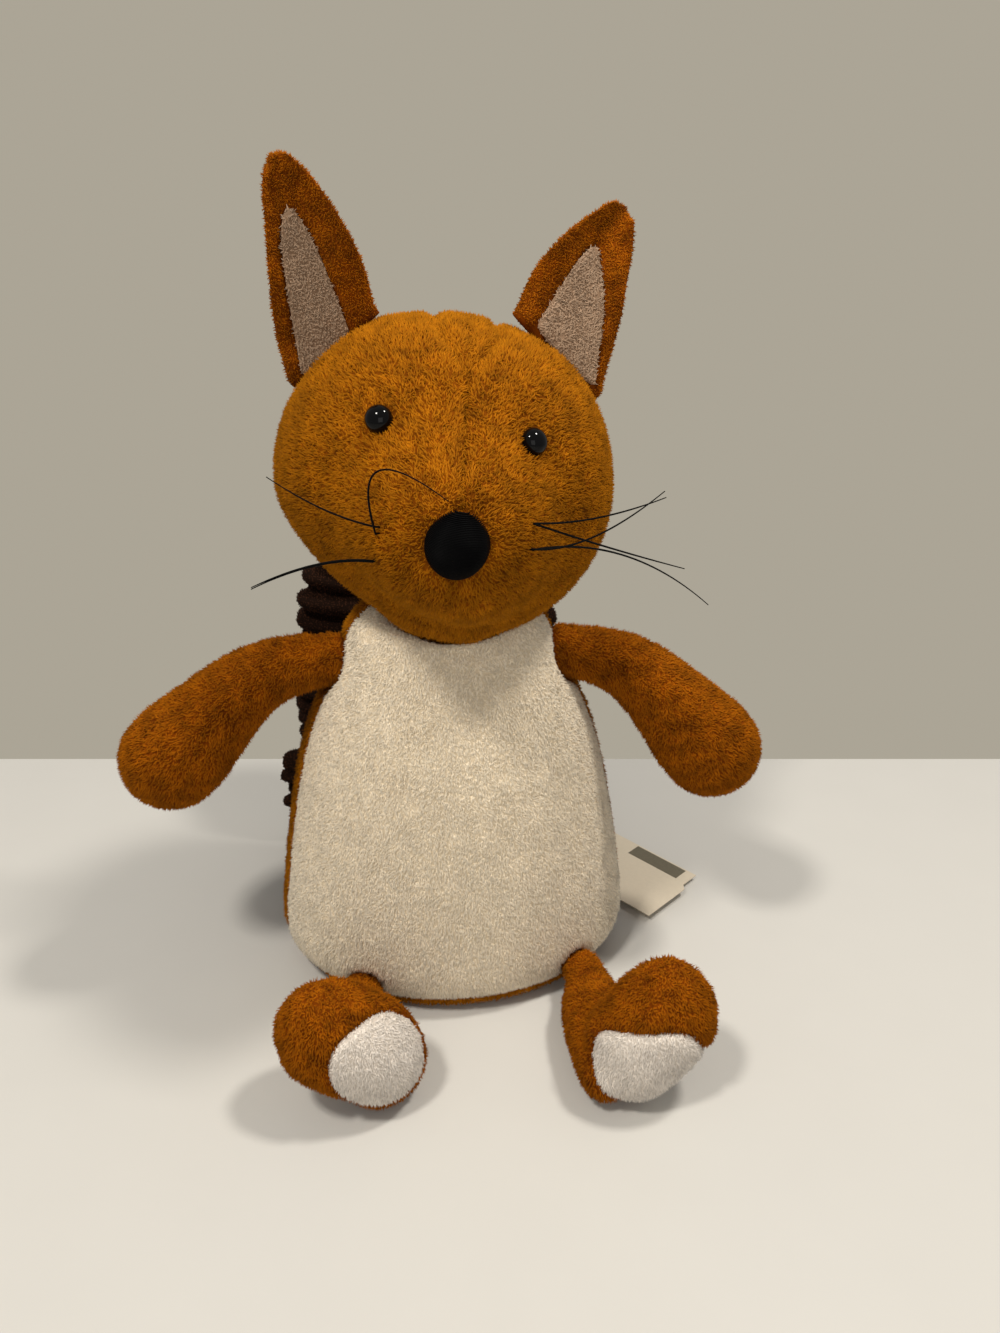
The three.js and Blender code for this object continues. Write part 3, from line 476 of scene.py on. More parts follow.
def spline(points, steps):
    """A smooth line through points, with this many steps between two of them."""
    given = np.asarray(points, float)
    given = np.vstack([given[:1], given, given[-1:]])
    part = np.linspace(0, 1, steps, endpoint=False)[:, None]
    runs = []
    for a, b, c, d in zip(given, given[1:], given[2:], given[3:]):
        runs.append(0.5 * (2 * b + (c - a) * part + (2 * a - 5 * b + 4 * c - d) * part ** 2
                           + (3 * b - a - 3 * c + d) * part ** 3))
    return np.vstack([*runs, given[-1:]])


def smooth_step(value, low, high):
    part = np.clip((np.asarray(value, float) - low) / (high - low), 0, 1)
    return part * part * (3 - 2 * part)


def tube_rings(stations, line, across, columns):
    """Rings along a line, each station being the distance along it, half width and half depth."""
    travel = np.concatenate([[0], np.cumsum(lengths(np.diff(line, axis=0)))])
    angles = circle(columns)

    def at(distance):
        return np.array([np.interp(distance, travel, line[:, i]) for i in range(3)])

    rings = []
    for along, wide, deep in stations:
        inside = min(max(along, 0), travel[-1])
        tangent = unit(at(inside + 0.001) - at(inside - 0.001))
        through = unit(np.cross(across, tangent))
        side = np.cross(tangent, through)
        rings.append(at(inside) + tangent * (along - inside)
                     + np.outer(np.cos(angles) * wide, side)
                     + np.outer(np.sin(angles) * deep, through))
    return rings


def limb_stations(length, root, slim, end, rows=12):
    """Round root, slimmer stretch and round end, as distance along and radius."""
    found = [(root * math.sin(angle), root * math.cos(angle))
             for angle in np.linspace(-math.pi / 2, -0.7, rows)[1:]]
    middle = [found[-1], (root * 1.15, slim), (length * 0.6, (slim + end) / 2),
              (length * 0.9, end * math.cos(0.1))]
    found.extend(tuple(point) for point in spline(middle, rows)[1:])
    found.extend((length + end * math.sin(angle), end * math.cos(angle))
                 for angle in np.linspace(-0.1, math.pi / 2, rows)[1:-1])
    return [(along, radius, radius) for along, radius in sorted(found)]


def sink(points, centre, radius, way, flat=0.0):
    """Presses points out of a ball whose top may be flat, along a way, and tells how far each is off."""
    way = unit(way)
    off = points - np.asarray(centre)
    off[:, 2] /= np.where(off[:, 2] > 0, 1 - flat, 1)
    far = lengths(off)
    inside = far < radius
    along = off[inside] @ way
    push = -along + np.sqrt(along ** 2 - far[inside] ** 2 + radius ** 2)
    points[inside] += push[:, None] * way
    return np.where(inside, 0.0, far - radius)


def swell(piece, held, pressure, most):
    """Lets the filling press a cover out between what holds it, by cloth simulation."""
    scene = bpy.context.scene
    before = points_of(piece)
    group = piece.vertex_groups.new(name="held")
    for weight in np.unique(held):
        if weight > 0:
            group.add([int(i) for i in np.nonzero(held == weight)[0]], float(weight), "REPLACE")
    cloth = piece.modifiers.new("filling", "CLOTH")
    for name, value in SWELL_SETTINGS.items():
        setattr(cloth.settings, name, value)
    cloth.settings.uniform_pressure_force = pressure
    cloth.settings.effector_weights.gravity = 0
    cloth.collision_settings.use_collision = False
    cloth.point_cache.frame_start = 1
    cloth.point_cache.frame_end = SWELL_FRAMES
    for step in range(1, SWELL_FRAMES + 1):
        scene.frame_set(step)
    graph = bpy.context.evaluated_depsgraph_get()
    swollen = piece.evaluated_get(graph).to_mesh()
    after = np.empty(len(swollen.vertices) * 3)
    swollen.vertices.foreach_get("co", after)
    piece.evaluated_get(graph).to_mesh_clear()
    piece.modifiers.clear()
    piece.vertex_groups.clear()
    scene.frame_set(1)
    moved = after.reshape(-1, 3) - before
    length = lengths(moved)[:, None]
    put_points(piece, before + moved * np.minimum(1, most / np.maximum(length, 1e-9)))


def split(piece, names):
    """A piece for each face number of a skin, in the order of the names."""
    made = []
    for number, name in enumerate(names):
        work = bmesh.new()
        work.from_mesh(piece.data)
        others = [face for face in work.faces if face.material_index != number]
        bmesh.ops.delete(work, geom=others, context="FACES")
        for face in work.faces:
            face.material_index = 0
            face.smooth = True
        mesh = bpy.data.meshes.new(name)
        work.to_mesh(mesh)
        work.free()
        made.append(placed(name, mesh))
    bpy.data.objects.remove(piece)
    return made


def tuck(panel, depth):
    """Draws a panel's sewn edge in, with the row beside it less."""
    with reshaped(panel.data) as work:
        work.normal_update()
        edge = {v for e in work.edges if e.is_boundary for v in e.verts}
        beside = {e.other_vert(v) for v in edge for e in v.link_edges} - edge
        for v in edge:
            v.co -= v.normal * depth
        for v in beside:
            v.co -= v.normal * depth * BESIDE_EDGE


def back_cloth(panel):
    """Gives an open panel its cloth thickness, with no pile on the inside."""
    outer = len(panel.data.vertices)
    modify(panel, "SOLIDIFY", thickness=BACKING, offset=-1)
    cover = panel.data.attributes["cover"].data
    values = np.empty(len(cover), np.float32)
    cover.foreach_get("value", values)
    values[outer:] = 0
    cover.foreach_set("value", values)


def unwrap(piece):
    """A map for the pile's colours, laid out before the pile grows."""
    piece.data.uv_layers.new(name=BAKE_MAP)
    bpy.context.view_layer.objects.active = piece
    piece.select_set(True)
    bpy.ops.object.mode_set(mode="EDIT")
    bpy.ops.mesh.select_all(action="SELECT")
    bpy.ops.uv.smart_project(angle_limit=1.15, island_margin=0.004)
    bpy.ops.object.mode_set(mode="OBJECT")
    piece.select_set(False)


# Node trees


VECTOR = "FLOAT_VECTOR"
GEOMETRY = {"Geometry": "Geometry"}
# A tuft's spread on the map of colours, and the share of it that stands in the cloth
TUFT_MAP = 0.0008
TUFT_SUNK = 0.15


class Tree:
    """Short ways to add and link the nodes of one tree."""

    def __init__(self, tree):
        self.tree = tree

    def add(self, kind, **values):
        node = self.tree.nodes.new(kind)
        for name, value in values.items():
            setattr(node, name, value)
        return node

    def link(self, source, target):
        self.tree.links.new(source, target)

    def put(self, socket, value):
        """Links or sets one input."""
        if isinstance(value, bpy.types.NodeSocket):
            self.link(value, socket)
        else:
            socket.default_value = value

    def feed(self, node, **inputs):
        """Links or sets inputs by their names, with _ for a space."""
        for name, value in inputs.items():
            self.put(self.socket(node.inputs, name.replace("_", " ")), value)
        return node

    def run(self, kind, **inputs):
        """The first output of a new node with these inputs."""
        return self.feed(self.add(kind), **inputs).outputs[0]

    def shape(self, kind, **inputs):
        return self.run(f"GeometryNode{kind}", **inputs)

    @staticmethod
    def socket(sockets, name):
        """The socket of that name that is in use."""
        return next(s for s in sockets if s.name == name and s.enabled)

    def out(self, node, name):
        return self.socket(node.outputs, name)

    def math(self, operation, *values):
        node = self.add("ShaderNodeMath", operation=operation)
        for socket, value in zip(node.inputs, values):
            self.put(socket, value)
        return node.outputs[0]

    def vector(self, operation, first, second=None, scale=None):
        node = self.add("ShaderNodeVectorMath", operation=operation)
        for key, value in ((0, first), (1, second), ("Scale", scale)):
            if value is not None:
                self.put(node.inputs[key], value)
        return node.outputs[0]

    def times(self, first, second):
        return self.math("MULTIPLY", first, second)

    def xyz(self, **parts):
        return self.run("ShaderNodeCombineXYZ", **parts)

    def parts(self, vector):
        return self.feed(self.add("ShaderNodeSeparateXYZ"), Vector=vector).outputs

    def random(self, low, high, seed):
        node = self.add("FunctionNodeRandomValue", data_type="FLOAT")
        return self.out(self.feed(node, Min=low, Max=high, Seed=seed), "Value")

    def named(self, name, kind="FLOAT"):
        node = self.add("GeometryNodeInputNamedAttribute", data_type=kind)
        return self.out(self.feed(node, Name=name), "Attribute")

    def store(self, geometry, name, value, kind="FLOAT", domain="POINT"):
        node = self.add("GeometryNodeStoreNamedAttribute", data_type=kind, domain=domain)
        return self.feed(node, Geometry=geometry, Name=name, Value=value).outputs["Geometry"]

    def faced(self, mesh, normal):
        """A mesh that is lit as if its points looked this way."""
        node = self.add("GeometryNodeSetMeshNormal", mode="FREE", domain="POINT")
        return self.feed(node, Mesh=mesh, Custom_Normal=normal).outputs[0]


def new_tree(name, kind, inputs, outputs):
    """A new tree with named sockets, as its nodes, what it is given and what it makes."""
    tree = bpy.data.node_groups.new(name, kind)
    for way, sockets in (("INPUT", inputs), ("OUTPUT", outputs)):
        for label, sort in sockets.items():
            tree.interface.new_socket(label, in_out=way, socket_type=f"NodeSocket{sort}")
    net = Tree(tree)
    return net, net.add("NodeGroupInput").outputs, net.add("NodeGroupOutput").inputs


def geometry_tree(name, **inputs):
    return new_tree(name, "GeometryNodeTree", {**GEOMETRY, **inputs}, GEOMETRY)


def end_tree(net, geometry, given, made):
    """Ends a tree in plain geometry with its material."""
    real = net.shape("RealizeInstances", Geometry=geometry)
    dressed = net.shape("SetMaterial", Geometry=real, Material=given["Material"])
    net.link(dressed, made["Geometry"])
    return net.tree


def pile_tree():
    """Tufts of pile on a skin: short cones that lie over together in patches."""
    net, given, made = geometry_tree(
        "Pile", Density="Float", Length="Float", Width="Float", Lean="Float", Patch="Float",
        Softness="Float", Seed="Int", Material="Material")
    cover, seed = net.named("cover"), given["Seed"]
    scatter = net.add("GeometryNodeDistributePointsOnFaces", distribute_method="RANDOM")
    net.feed(scatter, Mesh=given["Geometry"], Seed=seed, Density=net.times(given["Density"], cover))
    roots = net.store(scatter.outputs["Points"], "root_map", net.named(BAKE_MAP, VECTOR), VECTOR)
    roots = net.store(roots, "lay", scatter.outputs["Normal"], VECTOR)

    cone = net.add("GeometryNodeMeshCone", fill_type="NGON")
    net.feed(cone, Vertices=3, Side_Segments=1, Radius_Top=0.0, Radius_Bottom=0.5, Depth=1.0)
    place = net.shape("InputPosition")
    tuft = net.store(cone.outputs["Mesh"], "tip", net.parts(place)["Z"])
    tuft = net.store(tuft, "leaf", net.vector("SCALE", place, scale=TUFT_MAP), VECTOR)
    tuft = net.shape("Transform", Geometry=tuft, Translation=(0.0, 0.0, -TUFT_SUNK))
    tuft = net.shape("SetShadeSmooth", Geometry=tuft)

    drift = net.add("ShaderNodeTexNoise")
    net.feed(drift, Vector=place, Scale=given["Patch"], Detail=2.0)
    wild = net.add("ShaderNodeTexWhiteNoise", noise_dimensions="3D")
    net.feed(wild, Vector=place)
    ways = []
    for noise, most in ((drift, 4.0), (wild, 1.8)):
        off = net.vector("SUBTRACT", noise.outputs["Color"], (0.5, 0.5, 0.5))
        ways.append(net.vector("SCALE", off, scale=net.times(given["Lean"], most)))
    way = net.vector("ADD", *ways)
    for more in (scatter.outputs["Normal"], net.named("comb", VECTOR)):
        way = net.vector("ADD", way, more)
    spin = net.xyz(Z=net.random(0.0, 2 * math.pi, seed))
    aim = net.add("FunctionNodeAlignRotationToVector", axis="Z")
    net.feed(aim, Rotation=net.run("FunctionNodeEulerToRotation", Euler=spin), Vector=way)
    grown = net.math("MULTIPLY_ADD", cover, 0.5, 0.5)
    long = net.times(net.random(0.7, 1.25, net.math("ADD", seed, 7)),
                     net.times(given["Length"], grown))
    wide = net.times(net.random(0.75, 1.3, net.math("ADD", seed, 13)), given["Width"])
    tufts = net.shape("InstanceOnPoints", Points=roots, Instance=tuft, Rotation=aim.outputs[0],
                      Scale=net.xyz(X=wide, Y=wide, Z=long))
    shade = net.random(0.0, 1.0, net.math("ADD", seed, 3))
    tufts = net.store(tufts, "shade", shade, "FLOAT", "INSTANCE")
    tufts = net.shape("RealizeInstances", Geometry=tufts)
    spot = net.vector("ADD", net.named("root_map", VECTOR), net.named("leaf", VECTOR))
    tufts = net.store(tufts, BAKE_MAP, spot, "FLOAT2", "CORNER")
    own = net.shape("InputNormal")
    soft = net.vector("SCALE", net.named("lay", VECTOR), scale=given["Softness"])
    tufts = net.faced(tufts, net.vector("NORMALIZE", net.vector("ADD", own, soft)))
    for name in ("root_map", "leaf", "cover", "comb", "lay"):
        tufts = net.shape("RemoveAttribute", Geometry=tufts, Name=name)
    both = net.add("GeometryNodeJoinGeometry")
    net.link(tufts, both.inputs[0])
    # The bare skin has no tip height, so it takes the root colour: painted shade under the tufts.
    net.link(net.faced(given["Geometry"], own), both.inputs[0])
    return end_tree(net, both.outputs[0], given, made)


def thread_tree():
    """Round threads along lines of edges, whose points hold their own girth."""
    net, given, made = geometry_tree("Thread", Radius="Float", Sides="Int", Material="Material")
    section = net.add("GeometryNodeCurvePrimitiveCircle", mode="RADIUS")
    net.feed(section, Resolution=given["Sides"], Radius=given["Radius"])
    lines = net.shape("MeshToCurve", Mesh=given["Geometry"])
    drawn = net.shape("CurveToMesh", Curve=lines, Profile_Curve=section.outputs[0], Fill_Caps=True,
                      Scale=net.named("girth"))
    soft = net.shape("SetShadeSmooth", Geometry=drawn)
    return end_tree(net, soft, given, made)


def roll_tree():
    """Padded rolls at points that hold their half sizes, tilt and how far their ends rise."""
    net, given, made = geometry_tree("Rolls", Segments="Int", Material="Material")
    ball = net.shape("MeshUVSphere", Segments=20, Rings=given["Segments"], Radius=1.0)
    place, half = net.shape("InputPosition"), net.named("half", VECTOR)
    parts = net.parts(place)
    square = net.times(parts["Z"], parts["Z"])
    girth = net.math("SQRT", net.math("SUBTRACT", 1.0, square))
    full = net.math("POWER", net.math("MAXIMUM", girth, 0.02), -0.58)
    blunt = net.xyz(X=parts["Z"], Y=net.times(parts["X"], full), Z=net.times(parts["Y"], full))
    roll = net.shape("SetPosition", Geometry=ball, Position=blunt)
    tilt = net.xyz(X=net.named("pitch"), Y=net.named("tilt"))
    laid = net.shape("InstanceOnPoints", Points=given["Geometry"], Instance=roll,
                     Rotation=net.run("FunctionNodeEulerToRotation", Euler=tilt), Scale=half)
    laid = net.shape("RealizeInstances", Geometry=laid)
    off = net.vector("SUBTRACT", place, net.named("middle", VECTOR))
    aside = net.math("ABSOLUTE", net.parts(net.vector("DIVIDE", off, half))["X"])
    rise = net.times(net.math("POWER", aside, 2.0), net.named("bow"))
    bowed = net.shape("SetPosition", Geometry=laid, Offset=net.xyz(Z=rise))
    return end_tree(net, bowed, given, made)


def grow(piece, tree, **inputs):
    """Runs a geometry tree on a piece and keeps the plain mesh that it makes."""
    modifier = piece.modifiers.new("made", "NODES")
    modifier.node_group = tree
    for item in tree.interface.items_tree:
        if item.in_out == "INPUT" and item.name in inputs:
            modifier[item.identifier] = inputs[item.name]
    settle(piece)


def shared_tree(name, make):
    return bpy.data.node_groups.get(name) or make()


# Materials


# How much the patches of a pile differ, where it isn't the usual share
CLOUDS = {"rust": 1.7, "limb": 2.0, "brown": 0.5}
USUAL_CLOUD = 0.14
PATCH_SCALE = 160.0


def pile_group():
    """Pile from its root, darkened as painted shade between the tufts, to its tip, with tufts and patches
    that differ a little.
    """
    net, given, made = new_tree("Pile colour", "ShaderNodeTree", {
        "Vector": "Vector", "Root": "Color", "Tip": "Color", "Height": "Float", "Tuft": "Float",
        "Patch Scale": "Float", "Patch": "Float"}, {"Color": "Color", "Roughness": "Float"})
    rise = net.math("POWER", net.math("MAXIMUM", given["Height"], 0.0), 0.7)
    # Darker towards the root: painted shade between the tufts.
    mix = net.add("ShaderNodeMix", data_type="RGBA", blend_type="MIX")
    net.feed(mix, Factor=rise, A=given["Root"], B=given["Tip"])
    patches = net.add("ShaderNodeTexNoise")
    net.feed(patches, Vector=given["Vector"], Scale=given["Patch Scale"], Detail=4.0, Roughness=0.65)
    cloud = net.times(net.math("SUBTRACT", patches.outputs["Fac"], 0.5), given["Patch"])
    tuft = net.times(net.math("SUBTRACT", given["Tuft"], 0.5), 0.34)
    level = net.math("ADD", net.math("ADD", cloud, tuft), 1.0)
    net.link(net.vector("SCALE", net.out(mix, "Result"), scale=level), made["Color"])
    rough = net.math("SUBTRACT", 0.95, net.times(rise, 0.15))
    net.link(rough, made["Roughness"])
    return net.tree


def grain_group():
    """Fine grain for hard and woven surfaces: a level to scale a colour by, and a height."""
    net, given, made = new_tree(
        "Grain", "ShaderNodeTree", {"Vector": "Vector", "Scale": "Float", "Amount": "Float"},
        {"Level": "Float", "Height": "Float"})
    noise = net.add("ShaderNodeTexNoise")
    net.feed(noise, Vector=given["Vector"], Scale=given["Scale"], Detail=4.0)
    off = net.math("SUBTRACT", noise.outputs["Fac"], 0.5)
    off = net.times(off, given["Amount"])
    net.link(net.math("ADD", off, 1.0), made["Level"])
    net.link(noise.outputs["Fac"], made["Height"])
    return net.tree


def new_material(name, tree, **inputs):
    """A new material with a node group, as itself, its nodes, its surface and the group."""
    material = bpy.data.materials.new(name)
    material.use_nodes = True
    net = Tree(material.node_tree)
    group = net.add("ShaderNodeGroup", node_tree=tree)
    where = net.add("ShaderNodeTexCoord")
    net.feed(group, Vector=where.outputs["Object"], **inputs)
    return material, net, material.node_tree.nodes["Principled BSDF"], group


def toned_pile(context, tone):
    """The pile of one tone: rust, cream, limb, lining, sole or brown, with a root darkened as painted
    shade; the limb tone is a darker copy of the rust as painted shade.
    """
    name = f"{tone} pile"
    if name in bpy.data.materials:
        return bpy.data.materials[name]
    tones = context.scene.squirrel_colours
    root, tip = getattr(tones, f"{tone}_root"), getattr(tones, f"{tone}_tip")
    material, net, surface, group = new_material(
        name, shared_tree("Pile colour", pile_group), Root=(*root, 1.0), Tip=(*tip, 1.0),
        Patch_Scale=PATCH_SCALE, Patch=CLOUDS.get(tone, USUAL_CLOUD))
    for socket, attribute in (("Height", "tip"), ("Tuft", "shade")):
        node = net.add("ShaderNodeAttribute", attribute_name=attribute)
        net.link(node.outputs["Fac"], group.inputs[socket])
    net.feed(surface, Base_Color=group.outputs["Color"], Roughness=group.outputs["Roughness"],
             Specular_IOR_Level=0.06, Sheen_Weight=0.05, Sheen_Roughness=0.4,
             Sheen_Tint=(*[min(1.0, 1.6 * c) for c in tip], 1.0))
    return material


def grained_material(name, base, roughness, scale, amount, bump=0.0, gloss=0.5):
    """A plain finish with its own fine grain in colour and relief."""
    if name in bpy.data.materials:
        return bpy.data.materials[name]
    material, net, surface, group = new_material(
        name, shared_tree("Grain", grain_group), Scale=scale, Amount=amount)
    level = group.outputs["Level"]
    tone = net.add("ShaderNodeRGB").outputs[0]
    tone.default_value = (*base, 1.0)
    net.feed(surface, Base_Color=net.vector("SCALE", tone, scale=level),
             Roughness=net.times(level, roughness), Specular_IOR_Level=gloss)
    if bump > 0:
        relief = net.run("ShaderNodeBump", Height=group.outputs["Height"], Distance=bump, Strength=0.6)
        net.link(relief, surface.inputs["Normal"])
    return material


def repaint(piece, material):
    piece.data.materials.clear()
    piece.data.materials.append(material)


# Dressing


# How many patches of pile lie one way in a metre, and how evenly the pile is lit
PATCHES = {"rust": 260.0, "ear": 260.0, "cream": 160.0, "brown": 200.0}
SOFTNESS = {"rust": 1.0, "ear": 1.0, "cream": 2.2, "brown": 1.0}


def dress(piece, context, kind, seed, tone=None):
    """Unwraps a skin and grows its pile, thinner where its cover is low."""
    look = context.scene.squirrel_pile
    unwrap(piece)
    grow(piece, shared_tree("Pile", pile_tree), Density=getattr(look, f"{kind}_density"),
         Length=getattr(look, f"{kind}_length"), Width=getattr(look, f"{kind}_width"),
         Lean=look.lean, Patch=PATCHES[kind], Softness=SOFTNESS[kind], Seed=seed,
         Material=toned_pile(context, tone or kind))


def above_floor(points, low=0.0006, high=0.0035):
    return smooth_step(points[:, 2], low, high)


def clear_of(off, room):
    """How much pile stands at points that are this far off a seat."""
    return np.clip(off / room, 0, 1)


def fitted(piece, body, slot, *nodes, fill=0.7, bend=None):
    """Attaches a piece to the body that it moves with, or only bakes its place where a bend is given, and
    hides the parts that it stands for. Its slot and how full it is (fill) are not used.
    """
    if bend:
        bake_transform(piece)
    else:
        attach(piece, body)
    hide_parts(*nodes)


# Body


BELLY_COLUMNS = 36
BACK_COLUMNS = 50
BODY_ROW = 0.0044
BODY_ROWS_RISE = 0.103
# The head's turns in degrees that the body leaves room for, its rest as the last
HEAD_TURNS = (-22, -11, 11, 22, 0)
# The soft fold down the belly: its angle and width in degrees, and where it begins and ends
FOLD_ANGLE = 50
FOLD_WIDTH = 5
FOLD_FOOT = (0.028, 0.055)
FOLD_TOP = (0.088, 0.108)
BODY_COMB = (0, 0, -0.9)
# How far off a seat the body's pile stands in full
SEAT_EDGE = 0.0004


def torso_outline(body, nap):
    points = [(body.seat_width / 2, 0),
              ((body.seat_width + 2 * body.hip_width) / 6, body.hip_height * 0.28),
              (body.hip_width / 2, body.hip_height), (body.waist_width / 2, body.waist_height),
              (body.shoulder_width / 2, body.shoulder_height),
              (body.neck_width / 2, (body.shoulder_height + 3 * body.height) / 4),
              (0, body.height)]
    line = spline(points, 24)
    return np.maximum(line[:, 0] - nap, 0), np.maximum(line[:, 1] - nap * line[:, 1] / body.height, 0)


def torso_out(body, angle):
    ratio = body.depth / body.hip_width
    return unit((math.sin(angle) * ratio, -math.cos(angle), 0.0))


def head_middle(context):
    body, head = chosen(context, "body", "head")
    return np.array((0.0, -head.forward, body.height + head.lift))


def torso_skin(context):
    """The body as one stuffed skin, with a number on each face for its panel."""
    body, look = chosen(context, "body", "pile")
    radius, rise = torso_outline(body, look.nap)
    ratio = body.depth / body.hip_width
    left, right = body.belly
    belly = np.linspace(-right, left, BELLY_COLUMNS, endpoint=False)
    back = np.linspace(left, 2 * math.pi - right, BACK_COLUMNS, endpoint=False)
    angles = np.concatenate([belly, back])
    levels = [0.0, body.band / 2, body.band, 2 * body.band]
    levels.extend(np.arange(3 * body.band, body.neck_width / 2 + BODY_ROWS_RISE, BODY_ROW))
    seat = body.seat_width / 2 - look.nap
    rows = [(seat * part, 0.0) for part in (0.25, 0.5, 0.75, 0.93)]
    band_row = len(rows) + 2
    rows.extend((np.interp(level, rise, radius), level) for level in levels)
    last = rows[-1]
    for part in (0.8, 0.6, 0.4, 0.2):
        wide = last[0] * part
        rows.append((wide, np.interp(-wide, -radius[rise > last[1]], rise[rise > last[1]])))
    rings = [level_row(r * np.sin(angles), -r * ratio * np.cos(angles), z) for r, z in rows]
    skin = ring_skin("torso", rings, (0, 0, 0), (0, 0, body.height - look.nap))
    columns = len(angles)
    base, sides = [0] * columns, [1] * BELLY_COLUMNS + [2] * BACK_COLUMNS
    number_faces(skin, base * band_row + sides * (len(rows) - 1 - band_row) + base + sides)
    held = np.zeros((len(rows), columns))
    held[:band_row + 1] = 1
    held[-6:] = 1
    held[:, [0, BELLY_COLUMNS]] = 0.8
    swell(skin, np.concatenate([held.ravel(), [1, 1]]), pressure=2.5, most=0.0018)
    subdivide(skin)
    return skin


def head_seat(context, points):
    """Presses the body's top out of the turning head; gives the points and their way off its rest."""
    head = context.scene.squirrel_head
    pivot = Matrix.Translation(PIVOTS["head_turn"])
    for turned in HEAD_TURNS:
        spin = Matrix.Rotation(math.radians(turned), 4, "Z")
        matrix = pivot @ spin @ pivot.inverted() @ head_matrix(context)
        local = carried(points, matrix.inverted())
        ways = local / head_half(head)
        ways /= np.linalg.norm(ways, axis=1, keepdims=True)
        skin = head_points(head, ways, -head.seat_room)
        off = lengths(local) - lengths(skin)
        points = carried(np.where(off[:, None] < 0, skin, local), matrix)
    return points, np.maximum(off, 0)


class SQUIRREL_OT_body(bpy.types.Operator):
    """Make the belly, back and base covers of the body"""

    bl_idname = "squirrel.body"
    bl_label = "Body covers"

    def execute(self, context):
        body, head, limbs, tail, look = chosen(context, "body", "head", "limbs", "tail", "pile")
        skin = torso_skin(context)
        points = points_of(skin)
        around = np.degrees(np.arctan2(points[:, 0], -points[:, 1]))
        fold = np.exp(-((around - FOLD_ANGLE) / FOLD_WIDTH) ** 2)
        fold = fold * smooth_step(points[:, 2], *FOLD_FOOT)
        fold *= 1 - smooth_step(points[:, 2], *FOLD_TOP)
        points -= normals_of(skin) * (body.crease * fold)[:, None]
        points, off = head_seat(context, points)
        cover = clear_of(off, SEAT_EDGE)
        seats = [(PIVOTS["head_nod"], head.neck + JOINT_GAP, -UP, 0)]
        for name, _ in SIDES:
            for joint, root, flat in ((f"arm_lift_{name}", limbs.arm_root, 0),
                                      (f"leg_lift_{name}", limbs.leg_root, limbs.leg_flat)):
                pivot = np.array(PIVOTS[joint])
                out = torso_out(body, math.atan2(pivot[0] * body.depth / body.hip_width, -pivot[1]))
                seats.append((pivot, root - look.nap + SEAM_GAP, -out, flat))
        seats.append((PIVOTS["tail_lean"], tail.root + JOINT_GAP, (0, -1, 0), 0))
        for seat in seats:
            cover *= clear_of(sink(points, *seat), SEAT_EDGE)
        cover *= above_floor(points)
        put_points(skin, points)
        put_values(skin, "cover", cover)
        comb(skin, BODY_COMB)
        base, belly, back = split(skin, ("base_plush", "belly_plush", "back_plush"))
        for panel, kind, node, slot, seed in (
                (base, "rust", "base_panel", "rust_plush", 11),
                (belly, "cream", "belly_panel", "cream_plush", 12),
                (back, "rust", "back_panel", "rust_plush", 13)):
            tuck(panel, body.seam)
            back_cloth(panel)
            dress(panel, context, kind, seed)
            top = None if panel is base else ("neck", UP * body.neck_low, UP * body.neck_high)
            fitted(panel, "torso", slot, node, bend=top)
        return {"FINISHED"}


# Head


HEAD_COLUMNS = 64
HEAD_ROWS = 36
# Where the head is drawn in and where it is fuller
JAW_RIGHT = np.array((-0.45, -0.35, -0.82))
JAW_LEFT = np.array((0.8, -0.3, -0.52))
CHIN_CONE = 0.43
# Room round an eye and the nose that the filling doesn't press out
EYE_HOLD = 0.008
NOSE_HOLD = 0.012
NOSE_DENT = 0.0015
SEAM_BREADTH = 0.0017
# How far off the neck and off an ear's root the head's pile stands in full
NECK_EDGE = 0.0016
EAR_EDGE = 0.0014
HEAD_COMB = 0.55
HEAD_TUCK = 0.0002


def head_matrix(context):
    head = context.scene.squirrel_head
    spin = Matrix.Rotation(head.look, 4, "Z") @ Matrix.Rotation(head.tilt, 4, "Y")
    return Matrix.Translation(head_middle(context)) @ spin


def carried(points, matrix):
    numbers = np.array(matrix)
    return np.asarray(points) @ numbers[:3, :3].T + numbers[:3, 3]


def snout_axis(head):
    return np.array((0.0, -math.cos(head.snout_drop), -math.sin(head.snout_drop)))


def head_half(head):
    return np.array((head.width, head.depth, head.height)) / 2


def head_points(head, ways, inset):
    """Points of the head's skin in these directions from its middle."""
    axis = snout_axis(head)
    reach = head.snout * smooth_step(ways @ axis, math.cos(head.snout_cone), 1)
    half = head_half(head) - inset
    points = ways * half + reach[:, None] * axis
    points[:, 2] -= head.crown * smooth_step(ways[:, 2], 0.80, 1.0)
    low = np.array((0.0, -math.sin(head.chin_round), -math.cos(head.chin_round)))
    chin = head.chin * smooth_step(ways @ low, math.cos(CHIN_CONE), 1)
    points += chin[:, None] * low
    for way, swell in ((JAW_RIGHT, -head.jaw_drawn), (JAW_LEFT, head.jaw_full)):
        way = unit(way)
        points += np.outer(swell * smooth_step(ways @ way, math.cos(head.jaw_cone), 1), way)
    return points


def face_place(head, side, rise, inset=0.0):
    """The face's surface at a distance from its middle and a height, and the way out of it."""
    half = head_half(head) - inset
    axis = snout_axis(head)

    def at(x, z):
        reach = 0.0
        for _ in range(24):
            sideways, upwards = x / half[0], (z - axis[2] * reach) / half[2]
            ahead = -math.sqrt(max(1 - sideways ** 2 - upwards ** 2, 0))
            way = np.array((sideways, ahead, upwards))
            reach = head.snout * float(smooth_step(way @ axis, math.cos(head.snout_cone), 1))
        return way * half + reach * axis

    step = 0.002
    out = np.cross(at(side + step, rise) - at(side - step, rise),
                   at(side, rise + step) - at(side, rise - step))
    return at(side, rise), unit(out)


